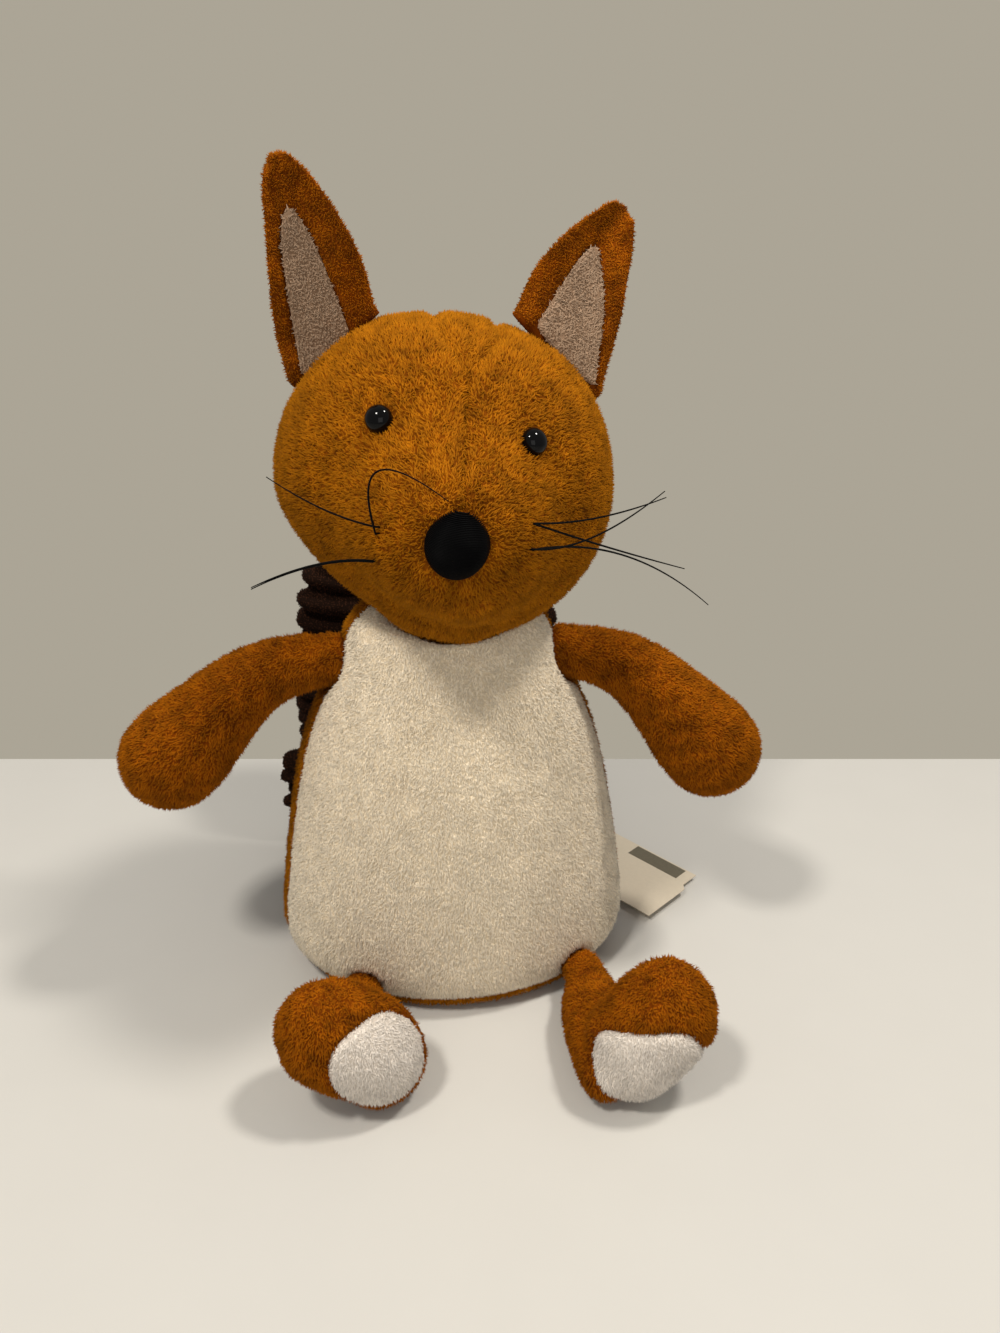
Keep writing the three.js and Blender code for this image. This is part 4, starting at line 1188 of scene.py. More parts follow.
def eye_place(head, side):
    return face_place(head, side * head.eye_spacing / 2 + head.eye_aside, head.eye_rise)


def ear_matrix(context, side):
    """An ear's place in the head: its root on the head's skin, turned out and folded back."""
    head, ears = chosen(context, "head", "ears")
    out, fold = of_side(ears.out, side), of_side(ears.fold, side)
    flat = (2 * out / head.width) ** 2 + (2 * ears.back / head.depth) ** 2
    rise = math.sqrt(1 - flat) * head.height / 2
    slope = math.atan2(out / head.width ** 2, rise / head.height ** 2)
    turned = Matrix.Rotation(side * slope, 4, "Y") @ Matrix.Rotation(-fold, 4, "X")
    return Matrix.Translation((side * out, ears.back, rise)) @ turned


def head_skin(context):
    head, look = chosen(context, "head", "pile")
    angles = circle(HEAD_COLUMNS)
    rises = np.linspace(-math.pi / 2, math.pi / 2, HEAD_ROWS + 1)[1:-1]
    ways = np.array([[(math.cos(rise) * math.sin(a), -math.cos(rise) * math.cos(a), math.sin(rise))
                      for a in angles] for rise in rises])
    flat = head_points(head, ways.reshape(-1, 3), look.nap)
    poles = head_points(head, np.array([-UP, UP]), look.nap)
    skin = ring_skin("head", flat.reshape(*ways.shape), *poles)
    left = [0 if column < HEAD_COLUMNS // 2 else 1 for column in range(HEAD_COLUMNS)]
    number_faces(skin, left * HEAD_ROWS)
    points = points_of(skin)
    held = np.zeros(len(points))
    held[points[:, 2] < -0.6 * head.height / 2] = 1
    held[np.abs(points[:, 0]) < 0.001] = 0.5
    for _, side in SIDES:
        eye, _ = eye_place(head, side)
        held[lengths(points - eye) < EYE_HOLD] = 1
    nose, _ = face_place(head, 0, head.nose_rise)
    held[lengths(points - nose) < NOSE_HOLD] = 1
    swell(skin, held, pressure=2.5, most=0.0014)
    subdivide(skin)
    return skin


def crown_seams(head, points):
    """How deep the seams of the strip over the crown lie at points of the head."""
    front = np.degrees(np.arctan2(-points[:, 1], points[:, 2]))
    wide = head.gusset * (1 - smooth_step(front, 12, 48))
    deep = head.seam * (1 - 0.65 * smooth_step(front, 20, 60)) * (1 - smooth_step(front, 92, 100))
    return deep * np.exp(-((np.abs(points[:, 0]) - wide) / SEAM_BREADTH) ** 2)


class SQUIRREL_OT_head(bpy.types.Operator):
    """Make the two covers of the head, with seats for the ears, eyes, nose and neck"""

    bl_idname = "squirrel.head"
    bl_label = "Head covers"

    def execute(self, context):
        head, ears = chosen(context, "head", "ears")
        skin = head_skin(context)
        points, normals = points_of(skin), normals_of(skin)
        dents = crown_seams(head, points)
        cover = np.ones(len(points))
        for _, side in SIDES:
            eye, _ = eye_place(head, side)
            far = lengths(points - eye)
            dents += head.eye_dent * np.exp(-(far / (1.05 * head.eye)) ** 2)
            cover *= smooth_step(far, 0.42 * head.eye, 0.62 * head.eye)
        nose, _ = face_place(head, 0, head.nose_rise)
        far = np.hypot((points[:, 0] - nose[0]) / head.nose_width,
                       (points[:, 2] - nose[2]) / head.nose_height) + (points[:, 1] > 0)
        dents += NOSE_DENT * np.exp(-(far / 0.5) ** 4)
        cover *= smooth_step(far, 0.40, 0.52)
        points -= normals * dents[:, None]
        matrix = head_matrix(context)
        neck = carried([PIVOTS["head_nod"]], matrix.inverted())[0]
        off = sink(points, neck, head.neck + JOINT_GAP, UP)
        cover *= clear_of(off, NECK_EDGE)
        cover *= smooth_step(points[:, 2], -1.0 * head.height / 2, -0.8 * head.height / 2) * 0.4 + 0.6
        for name, side in SIDES:
            place = ear_matrix(context, side)
            local = carried(points, place.inverted())
            local, off = groove(local, ears.thickness / 2 + JOINT_GAP, ears.width / 2)
            points = carried(local, place)
            cover *= clear_of(off, EAR_EDGE)
        put_points(skin, carried(points, matrix))
        put_values(skin, "cover", cover)
        away = points - nose
        away /= np.linalg.norm(away, axis=1, keepdims=True)
        put_values(skin, "comb", HEAD_COMB * carried(away, matrix.to_3x3().to_4x4()))
        for panel, (name, _), seed in zip(split(skin, ("head_plush_left", "head_plush_right")),
                                          SIDES, (21, 22)):
            tuck(panel, HEAD_TUCK)
            back_cloth(panel)
            dress(panel, context, "rust", seed)
            fitted(panel, "head", "rust_plush", f"head_panel_{name}", fill=0.8)
        return {"FINISHED"}


def groove(local, radius, half):
    """Presses points out of an ear's root roll, into the head, and tells how far each is off it."""
    beyond = np.maximum(np.abs(local[:, 0]) - half, 0)
    far = np.sqrt(local[:, 1] ** 2 + local[:, 2] ** 2 + beyond ** 2)
    inside = far < radius
    room = np.maximum(radius ** 2 - local[inside, 1] ** 2 - beyond[inside] ** 2, 0)
    local[inside, 2] = -np.sqrt(room)
    return local, np.where(inside, 0.0, far - radius)


# Ears


EAR_COLUMNS = 44
LINING_COLUMNS = 32
# How deep an ear is pressed in under its lining, and how much thinner its tip is
LINING_BED = 0.0014
EAR_TAPER = 0.35
# Share of an ear's height, then its inner and outer edges as shares of its width
EAR_EDGES = {
    "left": ((0.0, -0.531, 0.461), (0.262, -0.625, 0.278), (0.524, -0.622, 0.078),
             (0.764, -0.550, -0.100), (0.895, -0.494, -0.217), (0.961, -0.433, -0.294),
             (1.0, -0.367, -0.367)),
    "right": ((0.0, -0.480, 0.440), (0.262, -0.640, 0.245), (0.524, -0.715, -0.015),
              (0.764, -0.735, -0.270), (0.895, -0.715, -0.405), (0.961, -0.681, -0.500),
              (1.0, -0.589, -0.589)),
}
LINING_EDGES = {
    "left": ((-0.05, -0.325, 0.395), (0.386, -0.392, 0.003), (0.568, -0.394, -0.206),
             (0.630, -0.372, -0.290), (0.655, -0.340, -0.340)),
    "right": ((-0.05, -0.190, 0.340), (0.393, -0.397, -0.039), (0.633, -0.469, -0.267),
              (0.710, -0.470, -0.375), (0.734, -0.431, -0.431)),
}


def edges_at(ears, table, part):
    """Middle and half width at a share of the ear's height."""
    line = spline(table, 10)
    inner = np.interp(part, line[:, 0], line[:, 1]) * ears.width
    outer = np.interp(part, line[:, 0], line[:, 2]) * ears.width
    return (inner + outer) / 2, np.maximum(outer - inner, 0) / 2


def ear_sheet(ears, table, side, part, across):
    """Points of the ear's middle sheet, whose rims come forward."""
    middle, half = edges_at(ears, EAR_EDGES[table[0]], part)
    inside, reach = edges_at(ears, table[1], part)
    x = inside + across * reach
    rim = np.abs(x - middle) / np.maximum(half, 0.004)
    return side * x, -ears.cup * np.minimum(rim, 1) ** 2 * smooth_step(part, 0.05, 0.5)


def ear_cover(context, name, side):
    """An ear: a flat stuffed cover with a round root, pressed in where the lining lies."""
    ears, look = chosen(context, "ears", "pile")
    roll = ears.thickness / 2 - look.nap * 0.6
    angles = circle(EAR_COLUMNS)
    across = np.sign(np.cos(angles)) * np.abs(np.cos(angles)) ** 0.8
    rings, covers = [], []
    rows = [(0.0, roll * math.sin(a), math.cos(a)) for a in np.radians(np.linspace(-75, -15, 5))]
    rows.extend((part, part * ears.height, 1 - EAR_TAPER * part)
                for part in np.sin(np.linspace(0, math.pi / 2, 30))[:-1])
    for part, height, thick in rows:
        x, forward = ear_sheet(ears, (name, EAR_EDGES[name]), side, part, across)
        y = roll * thick * np.sin(angles)
        middle, half = edges_at(ears, LINING_EDGES[name], part)
        within = (np.abs(side * x - middle) < half + 0.0006) & (y < 0)
        within &= part < LINING_EDGES[name][-1][0]
        rings.append(level_row(x, y + forward + LINING_BED * within, height))
        covers.append(np.where(within, 0.0, 1.0) * float(smooth_step(height, -0.003, -0.001)))
    tip = ear_sheet(ears, (name, EAR_EDGES[name]), side, 1.0, 0.0)
    root = side * edges_at(ears, EAR_EDGES[name], 0.0)[0]
    piece = ring_skin(f"ear_plush_{name}", rings, (root, 0, -roll), (*tip, ears.height))
    put_values(piece, "cover", np.concatenate([*covers, [0, 1]]))
    subdivide(piece)
    return piece


def ear_lining(context, name, side):
    """The thin lining on the front of an ear."""
    ears = context.scene.squirrel_ears
    ahead = ears.thickness / 2 - ears.lining * 0.6
    top = LINING_EDGES[name][-1][0]
    angles = circle(LINING_COLUMNS)
    rings = []
    for part in np.sin(np.linspace(-0.05, math.pi / 2, 28))[:-1] * top:
        x, forward = ear_sheet(ears, (name, LINING_EDGES[name]), side, part, np.cos(angles))
        thick = ears.lining / 2 * min(1.0, float(np.ptp(x)) / 0.005)
        y = thick * np.sin(angles) - ahead * (1 - EAR_TAPER * part) + forward
        rings.append(level_row(x, y, part * ears.height))
    ends = []
    for part in (-0.06, top):
        x, forward = ear_sheet(ears, (name, LINING_EDGES[name]), side, part, 0.0)
        ends.append((x, forward - ahead * (1 - EAR_TAPER * part), part * ears.height))
    piece = ring_skin(f"ear_lining_plush_{name}", rings, *ends)
    fronts = np.tile(smooth_step(-np.sin(angles), -0.3, 0.2), len(rings))
    put_values(piece, "cover", np.concatenate([fronts, [0, 0.5]]))
    subdivide(piece)
    return piece


class SQUIRREL_OT_ears(bpy.types.Operator):
    """Make the ears and their linings"""

    bl_idname = "squirrel.ears"
    bl_label = "Ears"

    def execute(self, context):
        for seed, (name, side) in enumerate(SIDES, 31):
            place = head_matrix(context) @ ear_matrix(context, side)
            # The ear covers take the limb tone, darkened as painted shade, and the linings the lining
            # tone, partly darkened as painted shade.
            for make, kind, tone, slot, node in (
                    (ear_cover, "ear", "limb", "rust_plush", "ear_cover"),
                    (ear_lining, "cream", "lining", "cream_plush", "ear_lining")):
                piece = make(context, name, side)
                carry(piece, place)
                outwards(piece)
                dress(piece, context, kind, seed, tone)
                fitted(piece, f"ear_{name}", slot, f"{node}_{name}", fill=0.4)
        return {"FINISHED"}


# Face


NOSE_THREADS = 46
NOSE_SINK = 0.0006
# Points along one thread of the nose
THREAD_POINTS = 17
# The eye's stem behind the face: its radius, its round-off and its length
STEM = 0.0013
STEM_ROUND = 0.0011
STEM_LENGTH = 0.0058
# How deep an eye is pressed into the face, and its height as a share of its width
EYE_SINK = 0.0007
EYE_DOME = 0.40


def turned_piece(name, outline, columns, place, out):
    """A turned part whose outline runs along the way out of the face."""
    angles = circle(columns)
    rings = [level_row(r * np.cos(angles), r * np.sin(angles), h) for r, h in outline[1:-1]]
    piece = ring_skin(name, rings, (0, 0, outline[0][1]), (0, 0, outline[-1][1]))
    spin = Vector((0, 0, 1)).rotation_difference(Vector(out)).to_matrix().to_4x4()
    carry(piece, Matrix.Translation(place) @ spin)
    outwards(piece)
    return piece


def nose_lines(head, nap):
    """Satin stitches: threads across a padded nose that is a little peaked at the top."""
    place, _ = face_place(head, 0, head.nose_rise, nap)
    lines = []
    for part in np.linspace(-0.97, 0.97, NOSE_THREADS):
        peak = 1.0 - 0.10 * smooth_step(part, 0.2, 1.0)
        half = head.nose_width / 2 * math.sqrt(1 - part * part) * peak
        across = np.linspace(-1, 1, THREAD_POINTS)
        x = half * across
        bulge = np.sqrt(np.maximum(1 - part * part - (across * math.sqrt(1 - part * part)) ** 2, 0))
        z = head.nose_height / 2 * part * (1.03 if part > 0 else 1.0)
        y = place[1] - head.nose_depth / 2 * bulge + NOSE_SINK
        lines.append(level_row(x, y, place[2] + z))
    return lines, place


def line_piece(name, lines, girths):
    """An object of bare edges along lines, with a girth on each point."""
    edges, start = [], 0
    for line in lines:
        edges.extend((start + i, start + i + 1) for i in range(len(line) - 1))
        start += len(line)
    piece = mesh_piece(name, np.vstack(lines), [], edges)
    put_values(piece, "girth", np.concatenate(girths))
    return piece


def join(name, pieces):
    """One piece of several."""
    work = bmesh.new()
    for piece in pieces:
        work.from_mesh(piece.data)
    mesh = bpy.data.meshes.new(name)
    work.to_mesh(mesh)
    work.free()
    for material in pieces[0].data.materials:
        mesh.materials.append(material)
    for piece in pieces:
        bpy.data.objects.remove(piece)
    return placed(name, mesh)


class SQUIRREL_OT_face(bpy.types.Operator):
    """Make the eyes with their washers, and the stitched nose"""

    bl_idname = "squirrel.face"
    bl_label = "Eyes and nose"

    def execute(self, context):
        head, tones, look = chosen(context, "head", "colours", "pile")
        matrix = head_matrix(context)
        gloss = grained_material("eye plastic", tones.black, 0.06, 400.0, 0.1, gloss=0.16)
        for name, side in SIDES:
            place, out = eye_place(head, side)
            dome = [(head.eye / 2 * math.cos(a), head.eye * EYE_DOME * math.sin(a))
                    for a in np.linspace(0, math.pi / 2, 14)]
            outline = [(0, -STEM_LENGTH), (STEM_ROUND, -STEM_LENGTH), (STEM, -0.0055), (STEM, -0.0012),
                       (head.eye / 2 - 0.0004, -0.0010), (head.eye / 2, -0.0006), *dome[:-1],
                       (0, dome[-1][1])]
            eye = turned_piece(f"glossy_eye_{name}", outline, 48, place - out * EYE_SINK, out)
            carry(eye, matrix)
            eye.data.materials.append(gloss)
            fitted(eye, "head", "eye_plastic", f"eye_{name}", fill=None)
            repaint(frame["nodes"][f"eye_washer_{name}"],
                    grained_material("washer plastic", tones.plastic, 0.5, 900.0, 0.12, 0.00005))
        thread = grained_material("nose thread", tones.black, 0.45, 2500.0, 0.6, gloss=0.03)
        lines, place = nose_lines(head, look.nap)
        lines = [carried(line, matrix) for line in lines]
        radius = head.nose_height / NOSE_THREADS * 0.56
        stitches = line_piece("nose_threads", lines, [np.ones(len(line)) for line in lines])
        grow(stitches, shared_tree("Thread", thread_tree), Radius=radius, Sides=6, Material=thread)
        pad = nose_pad(head, place)
        carry(pad, matrix)
        outwards(pad)
        pad.data.materials.append(thread)
        nose = join("stitched_nose", [stitches, pad])
        shade(nose)
        fitted(nose, "head", "nose_thread", "nose", fill=0.9)
        return {"FINISHED"}


def nose_pad(head, place):
    """The padding under the stitches."""
    angles = circle(40)
    rings = []
    for rise in np.linspace(-math.pi / 2, math.pi / 2, 25)[1:-1]:
        peak = 1.0 - 0.10 * float(smooth_step(math.sin(rise), 0.2, 1.0))
        wide = math.cos(rise)
        rings.append(level_row(0.97 * head.nose_width / 2 * wide * peak * np.sin(angles),
                               0.97 * head.nose_depth / 2 * wide * np.cos(angles) + NOSE_SINK,
                               0.98 * head.nose_height / 2 * math.sin(rise)))
    ends = [(0, NOSE_SINK, side * 0.98 * head.nose_height / 2) for side in (-1, 1)]
    pad = ring_skin("nose_pad", rings, *ends)
    put_points(pad, points_of(pad) + place)
    return pad


# Whiskers: height of the root, the tip's way out, forward and up from it, then the bow up and out
WHISKERS = {
    "left": ((0.0042, 0.032, 0.003, 0.012, -0.0023, 0), (0.0040, 0.041, 0.004, -0.006, 0.0003, 0),
             (-0.0022, 0.030, 0.005, 0.021, -0.0068, 0), (-0.0024, 0.050, 0.002, -0.009, 0.0133, 0)),
    "right": ((-0.0012, 0.028, 0.002, 0.010, -0.002, 0),
              (-0.0030, -0.016, 0.013, 0.0145, 0.023, 0.018),
              (-0.0106, 0.030, 0.002, -0.0102, 0.0063, 0), (-0.0109, 0.030, 0.002, -0.0104, 0.0065, 0)),
}
WHISKER_CREST = 0.004


class SQUIRREL_OT_whiskers(bpy.types.Operator):
    """Make the nylon whiskers"""

    bl_idname = "squirrel.whiskers"
    bl_label = "Whiskers"

    def execute(self, context):
        head, tones, look = chosen(context, "head", "colours", "pile")
        lines, girths = [], []
        part = np.linspace(0, 1, 28)[:, None]
        for name, side in SIDES:
            for rise, out, forward, up, bow, swing in WHISKERS[name]:
                root, way = face_place(head, side * head.whisker_side, rise)
                tip = root + np.array((side * out, -forward, up))
                crest = root + 0.45 * (tip - root) + np.array((side * swing, -WHISKER_CREST, bow))
                line = (1 - part) ** 2 * root + 2 * part * (1 - part) * crest + part ** 2 * tip
                start = root - way * (look.nap + CLOTH)
                lines.append(carried(np.vstack([start, line]), head_matrix(context)))
                girths.append(np.concatenate([[1.0], 1 - 0.55 * part[:, 0] ** 2]))
        nylon = grained_material("whisker nylon", tones.black, 0.5, 1500.0, 0.2, gloss=0.05)
        piece = line_piece("nylon_whiskers", lines, girths)
        grow(piece, shared_tree("Thread", thread_tree), Radius=head.whisker / 2, Sides=6,
             Material=nylon)
        nodes = [f"whisker_{name}_{i}" for name, _ in SIDES for i in (1, 2, 3, 4)]
        fitted(piece, "head", "whisker_nylon", *nodes, fill=None)
        return {"FINISHED"}


# Arms


class SQUIRREL_OT_arms(bpy.types.Operator):
    """Make the arms"""

    bl_idname = "squirrel.arms"
    bl_label = "Arms"

    def execute(self, context):
        limbs, look = chosen(context, "limbs", "pile")
        for seed, (name, side) in enumerate(SIDES, 41):
            reach, fall, ahead = side * limbs.arm_reach, limbs.arm_fall, limbs.arm_forward
            line = spline([(0, 0, 0), (reach * 0.28, -ahead * 0.1, -fall * 0.04),
                           (reach * 0.55, -ahead * 0.4, -fall * 0.26), (reach, -ahead, -fall)], 16)
            length = lengths(np.diff(line, axis=0)).sum()
            nap = look.nap
            stations = limb_stations(length, limbs.arm_root - nap, limbs.arm_wrist - nap,
                                     limbs.arm_paw - nap)
            rings = tube_rings(stations, line, BACKWARDS, 32)
            first = line[0] - unit(line[1] - line[0]) * (limbs.arm_root - nap)
            last = line[-1] + unit(line[-1] - line[-2]) * (limbs.arm_paw - nap)
            arm = ring_skin(f"arm_plush_{name}", rings, first, last)
            points = points_of(arm)
            held = smooth_step(-np.abs(points[:, 0]), -0.012, -0.008).round()
            swell(arm, held, pressure=3.0, most=0.0012)
            subdivide(arm)
            points = points_of(arm)
            put_values(arm, "cover", smooth_step(side * points[:, 0], -0.008, -0.006))
            comb(arm, (side * 0.6, -0.2, -0.6))
            pivot = PIVOTS[f"arm_lift_{name}"]
            drop = Matrix.Rotation(side * of_side(limbs.drop, side), 4, "Y")
            put_points(arm, carried(points, Matrix.Translation(pivot) @ drop))
            # The limb tone darkens the rust pile as painted shade.
            dress(arm, context, "rust", seed, "limb")
            fitted(arm, f"arm_{name}", "rust_plush", f"arm_cover_{name}")
        return {"FINISHED"}


# Legs


LEG_COLUMNS = 28
FOOT_COLUMNS = 32
FOOT_ROWS = 21
LEG_VOXEL = 0.0014
LEG_COMB = (0, -0.5, -0.7)
LEG_TUCK = 0.0011
# The lowest that a leg's skin lies over the table, and where its pile stands in full
LEG_FLOOR = 0.0008
LEG_CLEAR = 0.004


def foot_matrix(limbs, side):
    """A foot's place at the end of its leg: x across, y through the sole, z to the toes."""
    spin = (Matrix.Rotation(-side * of_side(limbs.inward, side), 4, "Z")
            @ Matrix.Rotation(-of_side(limbs.upward, side), 4, "X")
            @ Matrix.Rotation(side * of_side(limbs.splay, side), 4, "Y"))
    out, reach = of_side(limbs.foot_out, side), of_side(limbs.reach, side)
    return Matrix.Translation((side * out, -reach, limbs.foot_rise)) @ spin


def sole_far(limbs, side, local):
    """How far points of a foot lie from the sole's middle, its edge being at 1.

    Points behind the foot's rim count as if they lay on it.
    """
    behind = np.maximum(local[:, 1], 0) / (limbs.foot_depth / 2)
    rim = np.sqrt(np.maximum(1 - behind ** 2, 0.25))
    along = local[:, 2] / rim + limbs.sole_drop
    across = local[:, 0] / rim - side * of_side(limbs.sole_out, side)
    wide = of_side(limbs.sole_width, side)
    far = np.hypot(2 * across / wide, 2 * along / limbs.sole_length)
    up = math.cos(limbs.sole_slant) * along - side * math.sin(limbs.sole_slant) * across
    up = np.maximum(up / of_side(limbs.sole_top, side), 0)
    return np.where(local[:, 1] < limbs.sole_wrap, (far ** 8 + up ** 8) ** 0.125, 9.0)


# Where a foot is fuller or drawn in, across it and to its toes, and by how much
FOOT_FORMS = {
    "left": (((-0.87, 0, 0.49), -0.0022), ((0.82, 0, 0.57), 0.0012), ((0.94, 0, -0.34), -0.0018)),
    "right": (((0.45, 0, 0.89), 0.0024), ((-1, 0, 0), -0.0030)),
}


def heel_skin(limbs, nap):
    """The calf and heel of the bent left leg."""
    inward, reach, drop = -limbs.heel_in, -limbs.heel_reach, -limbs.heel_drop
    line = spline([(inward * 0.4, -limbs.leg_root * 1.25, 0),
                   (inward * 0.95, reach * 0.6, drop * 0.7), (inward, reach, drop)], 8)
    length = lengths(np.diff(line, axis=0)).sum()
    stations = limb_stations(length, limbs.leg_slim - nap, (limbs.leg_slim + limbs.heel) / 2 - nap,
                             limbs.heel - nap, 8)
    rings = tube_rings(stations, line, LEFTWARDS, LEG_COLUMNS)
    return ring_skin("heel", rings, line[0] + (0, limbs.leg_slim - nap, 0),
                     line[-1] - (0, limbs.heel - nap, 0))


def leg_skin(context, name, side):
    """A leg and its foot as one skin."""
    limbs, look = chosen(context, "limbs", "pile")
    nap = look.nap
    line = spline([(0, 0, 0), (0, -of_side(limbs.reach, side), limbs.foot_rise / 2)], 12)
    length = np.linalg.norm(line[-1] - line[0])
    stations = limb_stations(length, limbs.leg_root - nap, limbs.leg_slim - nap,
                             limbs.leg_ankle - nap, 8)
    rings = tube_rings(stations, line, LEFTWARDS, LEG_COLUMNS)
    leg = ring_skin("leg", rings, (0, limbs.leg_root - nap, 0),
                    line[-1] + (0, -limbs.leg_ankle + nap, 0))
    angles = circle(FOOT_COLUMNS)
    half = np.array((limbs.foot_width, limbs.foot_depth, limbs.foot_length)) / 2 - nap
    rings = [level_row(half[0] * math.cos(r) * np.cos(angles), half[1] * math.cos(r) * np.sin(angles),
                       half[2] * math.sin(r))
             for r in np.linspace(-math.pi / 2, math.pi / 2, FOOT_ROWS)[1:-1]]
    foot = ring_skin("foot", rings, (0, 0, -half[2]), (0, 0, half[2]))
    points = points_of(foot)
    aside = points * (1, 0, 1)
    span = lengths(aside)
    ways = aside / np.maximum(span, 1e-6)[:, None]
    for way, rise in FOOT_FORMS[name]:
        share = smooth_step(ways @ np.array(way), 0.6, 1) * np.minimum(span / half[0], 1)
        points = points + ways * rise * share[:, None]
    put_points(foot, carried(points, foot_matrix(limbs, side)))
    pieces = [leg, foot] + ([heel_skin(limbs, nap)] if side > 0 else [])
    skin = join("leg_skin", pieces)
    points = points_of(skin)
    flat = limbs.leg_flat * (1 - smooth_step(-points[:, 1], 0.006, 0.026))
    points[:, 2] *= np.where(points[:, 2] > 0, 1 - flat, 1)
    put_points(skin, points)
    outwards(skin)
    remesh(skin, LEG_VOXEL, 8)
    return skin


class SQUIRREL_OT_legs(bpy.types.Operator):
    """Make the legs, whose feet have cream soles"""

    bl_idname = "squirrel.legs"
    bl_label = "Legs"

    def execute(self, context):
        limbs = context.scene.squirrel_limbs
        for seed, (name, side) in enumerate(SIDES, 51):
            skin = leg_skin(context, name, side)
            points = points_of(skin)
            held = smooth_step(points[:, 1], -0.016, -0.010).round()
            swell(skin, held, pressure=3.0, most=0.0010)
            points = points_of(skin)
            foot = foot_matrix(limbs, side)
            local = carried(points, foot.inverted())
            far = sole_far(limbs, side, local)
            corners = [list(face.vertices) for face in skin.data.polygons]
            sole = np.array([far[c].mean() < 1 for c in corners])
            inner, outer = ({v for c, on in zip(corners, sole) if on == part for v in c}
                            for part in (True, False))
            edge = np.array(sorted(inner & outer))
            edge = edge[np.abs(far[edge] - 1) < 0.1]
            aside = side * of_side(limbs.sole_out, side)
            local[edge, 0] = (local[edge, 0] - aside) / far[edge] + aside
            local[edge, 2] = (local[edge, 2] + limbs.sole_drop) / far[edge] - limbs.sole_drop
            points = carried(local, foot)
            number_faces(skin, sole)
            cover = smooth_step(-points[:, 1], -0.007, -0.005)
            cover *= 0.4 + 0.6 * smooth_step(np.abs(far - 1), 0.0, 0.12)
            comb(skin, LEG_COMB)
            pivot = PIVOTS[f"leg_lift_{name}"]
            spread = (Matrix.Translation(pivot)
                      @ Matrix.Rotation(side * of_side(limbs.spread, side), 4, "Z")
                      @ Matrix.Rotation(-of_side(limbs.lift, side), 4, "X"))
            points = carried(points, spread)
            points[:, 2] = np.maximum(points[:, 2], LEG_FLOOR)
            put_points(skin, points)
            put_values(skin, "cover", cover * above_floor(points, LEG_FLOOR, LEG_CLEAR))
            leg, pad = split(skin, (f"leg_plush_{name}", f"sole_plush_{name}"))
            # The legs take the limb tone, the rust pile darkened as painted shade.
            for piece, kind, tone, slot, node in (
                    (leg, "rust", "limb", "rust_plush", "leg_cover"),
                    (pad, "cream", "sole", "cream_plush", "sole")):
                tuck(piece, LEG_TUCK)
                back_cloth(piece)
                dress(piece, context, kind, seed, tone)
                fitted(piece, f"leg_{name}", slot, f"{node}_{name}")
        return {"FINISHED"}


# Tail


# Half the tail's width up to its top, by share of the wide and of the narrow setting, and the height
TAIL_LOW = ((0.50, 0), (0.52, 0.07), (0.522, 0.13), (0.51, 0.2), (0.445, 0.25), (0.445, 0.38),
            (0.448, 0.5), (0.4, 0.64))
TAIL_HIGH = ((0.52, 0.72), (0.46, 0.85), (0.27, 1.0))
TAIL_CORE_DEPTH = 0.68
TAIL_VOXEL = 0.0013
TAIL_FLOOR = 0.001
TAIL_CLEAR = 0.004


